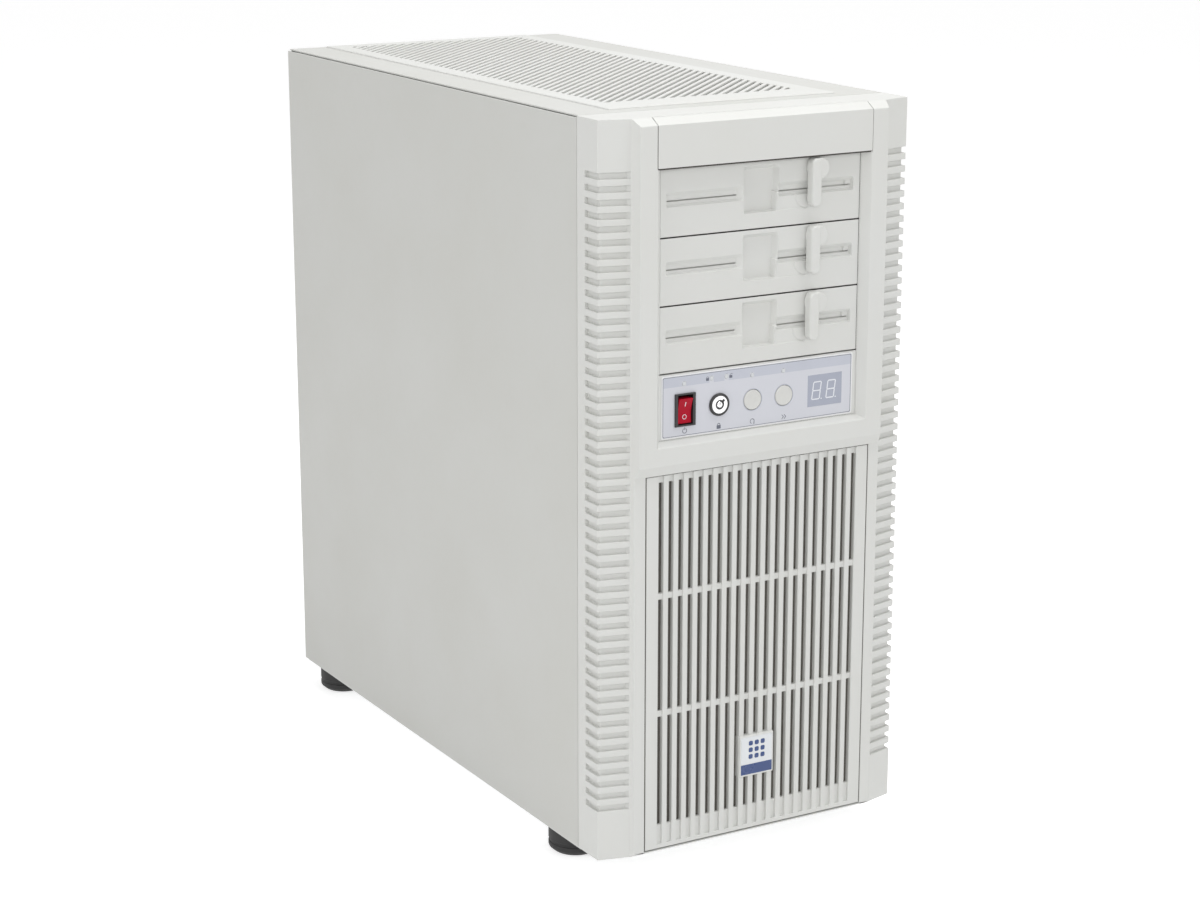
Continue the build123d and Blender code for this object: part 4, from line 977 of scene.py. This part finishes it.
class TOWER_OT_badge(bpy.types.Operator):
    """Badge on the grille: a pale plate with plain dots over a blue band"""

    bl_idname = "tower.badge"
    bl_label = "Badge"

    def execute(self, context):
        low, high = node_box("badge")
        x, d, h = front_of("badge")
        width, height = high[0] - low[0], high[2] - low[2]
        frame_part = slab(width, height, 0.8, -(high[1] - low[1]), 0.0, edge=0.5)
        build("badge_frame", [shifted(frame_part, at(x, d, h))], "case_plastic", "grille", ("badge",))
        panel = slab(width - 2.2, height - 2.2, 0.4, 0.0, 0.12, edge=0.08)
        build("badge_plate", [shifted(panel, at(x, d, h))], "badge_face", "grille")
        band = slab(width - 2.2, 7.0, 0.3, 0.0, 0.18, edge=0.06)
        blue = [shifted(band, at(x, d, h - height / 2 + 4.8))]
        for column in (-1, 0, 1):
            for row in (-1, 0, 1):
                dot = slab(3.2, 3.2, 1.0, 0.1, 0.2, edge=0.05)
                blue.append(shifted(dot, at(x + 4.6 * column, d, h + 4.0 + 4.6 * row)))
        build("badge_blue", blue, "badge_blue", "grille")
        return {"FINISHED"}


# ---- Fans ---------------------------------------------------------------------------------------

def rotor_parts(centre, across, along, out, tip, length, blades, sweep):
    """A fan rotor about local z: a domed hub, and blades whose angle runs in proportion to the chord and
    sweeps with radius, and whose height falls along the chord, less steeply towards the tip, plus a
    parabola of camber."""
    hub = 0.32 * (tip + 5.0)
    dome = [(hub, 0.0), (hub, length - 2.0), (hub - 0.6, length - 0.9), (hub - 2.0, length - 0.2),
            (hub * 0.6, length), (hub * 0.55, length - 0.5)]
    parts = [shifted(turned(dome, 40), centre, across, along, out)]
    chord = np.linspace(-1, 1, 9)
    thick = 0.75 * np.sqrt(1 - chord ** 2) + 0.12
    loop = np.concatenate([chord, chord[::-1]])
    skin_level = np.concatenate([-thick, thick[::-1]])
    t = np.linspace(0, 1, 9)[:, None]
    radius = hub - 0.5 + t * (tip - hub + 0.5)
    level = length * (0.52 - (0.42 - 0.15 * t) * loop) + 1.1 * (1 - loop ** 2) + skin_level
    for number in range(blades):
        angle = 2 * np.pi * number / blades + 0.40 * 2 * np.pi / blades * loop + sweep * t
        grid = np.stack([radius * np.cos(angle), radius * np.sin(angle), level], -1)
        parts.append(shifted(capped(grid), centre, across, along, out))
    return parts


class TOWER_OT_fans(bpy.types.Operator):
    """Swept and cambered rotors for the six fans, with blank hub labels"""

    bl_idname = "tower.fans"
    bl_label = "Fan rotors"

    def execute(self, context):
        sweep = context.scene.tower_shape.blade_sweep
        rotors = (("front_fan_rotor_lower", "lower_front_rotor", FROM_FRONT, 9),
                  ("front_fan_rotor_upper", "upper_front_rotor", FROM_FRONT, 9),
                  ("rear_fan_rotor", "rear_rotor", FROM_FRONT, 9),
                  ("psu_fan_rotor", "supply_rotor", FROM_ABOVE, 9),
                  ("cpu_fan_rotor", "cooler_rotor", FROM_LEFT, 7),
                  ("card_fan_rotor", "card_rotor", FROM_ABOVE, 11))
        for node, body, axes, blades in rotors:
            low, high = node_box(node)
            across, along, out = axes
            middle, span = (low + high) / 2, high - low
            length, tip = abs(span @ out), span @ np.abs(across) / 2
            start = middle - out * length / 2
            parts = rotor_parts(start, across, along, out, tip, length, blades, sweep)
            build(f"{node}_blades", parts, "black_plastic", body, (node,))
            wide = 0.36 * tip
            label = slab(wide, wide, wide / 2, length - 0.45, length - 0.3, edge=0.05, steps=10)
            build(f"{node}_label", [shifted(label, start, across, along, out)], "blank_label", body)
        return {"FINISHED"}


# ---- Feet, screws and rear ----------------------------------------------------------------------

class TOWER_OT_feet_and_screws(bpy.types.Operator):
    """Ribbed rubber feet, knurled thumbscrews and the small screws of the rear"""

    bl_idname = "tower.feet_and_screws"
    bl_label = "Feet and screws"

    def execute(self, context):
        low, high = node_box("feet")
        tall = high[2]
        foot = [(5.5, 10.0), (5.5, 0.4), (6.2, 0.0), (14.2, 0.0), (15.0, 0.5), (17.6, 2.8), (18.0, 3.6),
                (18.0, 6.0), (17.3, 6.5), (17.3, 8.3), (18.0, 8.8), (18.0, tall)]
        feet = [shifted(turned(foot, 56), np.array([x, y, 0.0]), *FROM_ABOVE)
                for x in (low[0] + 18.0, high[0] - 18.0) for y in (low[1] + 18.0, high[1] - 18.0)]
        build("rubber_feet", feet, "rubber", "chassis", ("feet",))

        head = [(1.6, -5.0), (1.6, 0.0), (4.2, 0.0), (4.2, 0.7), (3.7, 0.9), (4.5, 1.2), (4.5, 5.0),
                (4.1, 5.6), (2.6, 5.6), (2.2, 4.9)]
        knurled = turned(head, 96, [0.0, 0.0, 0.0, 0.0, 0.0, 0.16, 0.16, 0.05, 0.0, 0.0], 24)
        for hand in ("left", "right"):
            low, high = node_box(f"{hand}_thumbscrews")
            seat = high[1] - 7.2
            screws = [shifted(knurled, np.array([(low[0] + high[0]) / 2, seat, z]), *FROM_REAR)
                      for z in (low[2] + 5.2, high[2] - 5.2)]
            build(f"{hand}_knurled_screws", screws, "screw_steel", f"{hand}_panel",
                  (f"{hand}_thumbscrews",))

        low, high = node_box("power_supply")
        x0, x1, h0, h1 = low[0], high[0], low[2] - BASE, high[2] - BASE
        fan_x, _, fan_h = front_of("rear_fan_frame")
        places = [(x0 + 7.0, h0 + 6.0), (x1 - 7.0, h0 + 6.0), (x1 - 7.0, h1 - 6.0), (x0 + 7.0, h1 - 6.0)]
        places += [(fan_x + sx * 52.5, fan_h + sz * 52.5) for sx in (-1, 1) for sz in (-1, 1)]
        covers_high = node_box("slot_covers")[1][2] - BASE
        places += [(72.5, covers_high - 9.2 - SLOT_PITCH * number) for number in range(7)]
        rear = REAR - FRONT
        screw = turned([(3.3, 0.0), (3.3, 0.5), (2.9, 1.1), (2.0, 1.5), (1.4, 1.6)], 24)
        cross = [plate(rounded_outline(3.0, 0.6, 0.1), 1.58, 1.64),
                 plate(rounded_outline(0.6, 3.0, 0.1), 1.58, 1.64)]
        heads = [shifted(screw, at(x, rear, h), *FROM_REAR) for x, h in places]
        marks = [shifted(part, at(x, rear, h), *FROM_REAR) for x, h in places for part in cross]
        build("rear_screws", heads, "screw_steel", "chassis")
        build("rear_screw_recesses", marks, "ink", "chassis")
        return {"FINISHED"}


# ---- Boards and drives --------------------------------------------------------------------------

class TOWER_OT_electronics(bpy.types.Operator):
    """The main board with its sockets and ports, and details of the card, memory, drives and supply"""

    bl_idname = "tower.electronics"
    bl_label = "Boards, card and drives"

    def execute(self, context):
        low, high = node_box("motherboard")
        face, back = high[0] - 1.6, high[0]
        d0, h0, h1 = low[1] - FRONT, low[2] - BASE, high[2] - BASE
        rear = high[1] - FRONT
        d1 = rear - 3.6
        build("main_board", [solid(face, back, d0, d1, h0, h1)], "board_green", "chassis",
              ("motherboard",), bevel=0.2)

        black, cream, steel, gold, blue = [], [], [], [], []
        ports = ((h1 - 22.0, 12.0), (h1 - 48.0, 16.0), (h1 - 78.0, 18.0), (h1 - 106.0, 14.0),
                 (h1 - 136.0, 20.0))
        for number, (h, tall) in enumerate(ports):
            low_h, high_h = h - tall / 2, h + tall / 2
            steel += [solid(50.0, 77.4, 440.0, rear, high_h - 0.5, high_h),
                      solid(50.0, 77.4, 440.0, rear, low_h, low_h + 0.5),
                      solid(50.0, 50.5, 440.0, rear, low_h + 0.5, high_h - 0.5),
                      solid(76.9, face, 440.0, rear - 4.0, low_h + 0.5, high_h - 0.5)]
            inside = blue if number % 2 else black
            inside.append(solid(50.6, 76.8, 441.0, rear - 2.4, low_h + 0.6, high_h - 0.6))
            openings = 2 if tall > 13.0 else 1
            for slot in range(openings):
                middle = h + (slot - (openings - 1) / 2) * tall / 2
                cream.append(solid(54.0, 73.0, rear - 2.4, rear - 0.4, middle - 0.8, middle + 0.8))
                gold += [solid(56.0 + 4.2 * k, 57.4 + 4.2 * k, rear - 2.3, rear - 0.5, middle + 0.8,
                               middle + 1.0) for k in range(4)]
        for number in range(4):
            rail = 258.0 + 8.0 * number
            (blue if number % 2 else black).append(solid(73.0, face, rail, rail + 5.0, 298.0, 436.0))
            cream += [solid(70.5, face, rail + 0.8, rail + 4.2, end - 2.5, end + 2.5)
                      for end in (300.5, 433.5)]
        for number in range(1, 6):
            h = FIRST_SLOT - number * SLOT_PITCH
            (cream if number > 2 else black).append(solid(69.0, face, 335.0, 425.0, h - 3.7, h + 3.7))
            gold.append(solid(68.9, 69.05, 338.0, 422.0, h - 0.3, h + 0.3))
        black.append(solid(68.0, face, 226.0, 236.0, 330.0, 382.0))
        cream.append(solid(76.0, face, 310.0, 350.0, 352.0, 392.0))
        steel += [solid(70.0, face, 285.0 + 5.0 * k, 286.6 + 5.0 * k, 165.0, 205.0) for k in range(9)]
        steel.append(solid(77.6, face, 285.0, 325.0, 165.0, 205.0))
        places = [(390.0, 395.0), (390.0, 350.0), (390.0, 322.0), (374.0, 408.0), (374.0, 336.0),
                  (300.0, 260.0), (312.0, 260.0), (430.0, 150.0), (442.0, 150.0), (250.0, 200.0),
                  (250.0, 214.0)]
        can = turned([(3.9, 0.0), (3.9, 9.4), (3.6, 9.9), (3.0, 10.1)], 20)
        cans = [shifted(can, at(face, d, h), *FROM_LEFT) for d, h in places]
        chips = [(240.0, 170.0, 14.0), (262.0, 240.0, 10.0), (420.0, 250.0, 9.0), (300.0, 240.0, 7.0),
                 (360.0, 148.0, 9.0), (245.0, 300.0, 7.0), (405.0, 290.0, 8.0)]
        black += [solid(face - 1.3, face, d - half, d + half, h - half, h + half) for d, h, half in chips]
        for name, parts, finish, slot, bevel in (
                ("board_sockets_dark", black, "black_plastic", "black_plastic", 0.25),
                ("board_sockets_blue", blue, "socket_blue", "smoked_lens", 0.25),
                ("board_sockets_pale", cream, "socket_cream", "case_plastic", 0.25),
                ("board_shells", steel, "zinc_steel", "zinc_steel", 0.12),
                ("board_contacts", gold, "gold", "lock_chrome", 0.0),
                ("board_capacitors", cans, "fin_aluminium", "fin_aluminium", 0.0)):
            build(name, parts, finish, "chassis", bevel=bevel)

        chips, contacts = [], []
        for d in (260.5, 276.5):
            for side in (-1, 1):
                surface = d + side * 1.8
                chips += [solid(48.0, 60.0, surface, surface + side * 0.5, 310.0 + 14.5 * k,
                                320.5 + 14.5 * k) for k in range(8)]
                contacts.append(solid(70.0, 72.6, d + side * 0.6, d + side * 0.68, 303.0, 431.0))
        build("memory_chips", chips, "black_plastic", "chassis", bevel=0.15)
        build("memory_contacts", contacts, "gold", "chassis")

        card_h = FIRST_SLOT - SLOT_PITCH
        shroud = [solid(-20.0 + 9.5 * k, -18.6 + 9.5 * k, start, stop, card_h - 37.6, card_h - 37.0)
                  for start, stop in ((250.0, 300.0), (394.0, 446.0)) for k in range(9)]
        build("card_ribs", shroud, "psu_paint", "chassis", bevel=0.2)
        build("card_board", [solid(-25.2, 69.2, 234.8, 466.4, card_h - 0.75, card_h + 0.95)],
              "board_green", "chassis")
        bracket = [solid(-41.5, 78.5, 467.8, 468.3, card_h - 29.0, card_h + 8.6)]
        build("card_bracket", bracket, "zinc_steel", "chassis")
        plugs = [solid(x - 17.0, x + 17.0, 468.3, rear - 0.3, card_h - 5.0, card_h + 5.0)
                 for x in (-10.0, 40.0)]
        build("card_ports", plugs, "socket_blue", "chassis", bevel=0.8)

        low, high = node_box("hard_drives")
        labels, boards, lids = [], [], []
        drive_high = 26.1
        for bottom in (low[2] - BASE, high[2] - BASE - drive_high):
            top = bottom + drive_high
            labels.append(solid(-40.0, 40.0, 80.0, 180.0, top, top + 0.12))
            lids.append(solid(-46.0, 46.0, 70.0, 200.0, top, top + 0.06))
            boards.append(solid(-44.0, 44.0, 66.0, 150.0, bottom - 0.6, bottom - 0.02))
        build("drive_boards", boards, "board_green", "chassis")
        build("drive_labels", labels, "blank_label", "chassis")
        build("drive_lids", lids, "screw_steel", "chassis")

        low, high = node_box("power_supply")
        side = low[0]
        label = solid(side - 0.12, side, low[1] - FRONT + 25.0, high[1] - FRONT - 30.0, 22.0, 70.0)
        build("supply_label", [label], "blank_label", "chassis")
        inlet = [solid(52.0 + pin - 1.0, 52.0 + pin + 1.0, rear - 16.0, rear - 4.9, 57.0, 63.0)
                 for pin in (-7.0, 0.0, 7.0)]
        build("inlet_pins", inlet, "gold", "chassis")
        return {"FINISHED"}


# ---- Panel and start ----------------------------------------------------------------------------

STEPS = (TOWER_OT_stage, TOWER_OT_frame_nodes, TOWER_OT_bay_covers, TOWER_OT_switches, TOWER_OT_controls,
         TOWER_OT_seams, TOWER_OT_badge, TOWER_OT_fans, TOWER_OT_feet_and_screws, TOWER_OT_electronics)


class TOWER_PT_panel(bpy.types.Panel):
    """The tower's settings and steps in the sidebar."""

    bl_label = "Desktop tower"
    bl_idname = "TOWER_PT_panel"
    bl_space_type = "VIEW_3D"
    bl_region_type = "UI"
    bl_category = "Tower"

    def draw(self, context):
        for settings in (context.scene.tower_finish, context.scene.tower_shape, context.scene.tower_stage):
            box = self.layout.box()
            for name in settings.__annotations__:
                box.prop(settings, name)
        for step in STEPS:
            self.layout.operator(step.bl_idname)


GROUPS = (("tower_finish", TowerFinish), ("tower_shape", TowerShape), ("tower_stage", TowerStage))


def register():
    """Adds the settings, steps and panel."""
    for name, group in GROUPS:
        bpy.utils.register_class(group)
        setattr(bpy.types.Scene, name, bpy.props.PointerProperty(type=group))
    for step in (*STEPS, TOWER_PT_panel):
        bpy.utils.register_class(step)


def unregister():
    """Takes the settings, steps and panel away again."""
    for step in (TOWER_PT_panel, *reversed(STEPS)):
        bpy.utils.unregister_class(step)
    for name, group in reversed(GROUPS):
        delattr(bpy.types.Scene, name)
        bpy.utils.unregister_class(group)


def main():
    """Runs every step in order."""
    register()
    for step in STEPS:
        family, action = step.bl_idname.split(".")
        getattr(getattr(bpy.ops, family), action)()


if __name__ == "__main__":
    main()
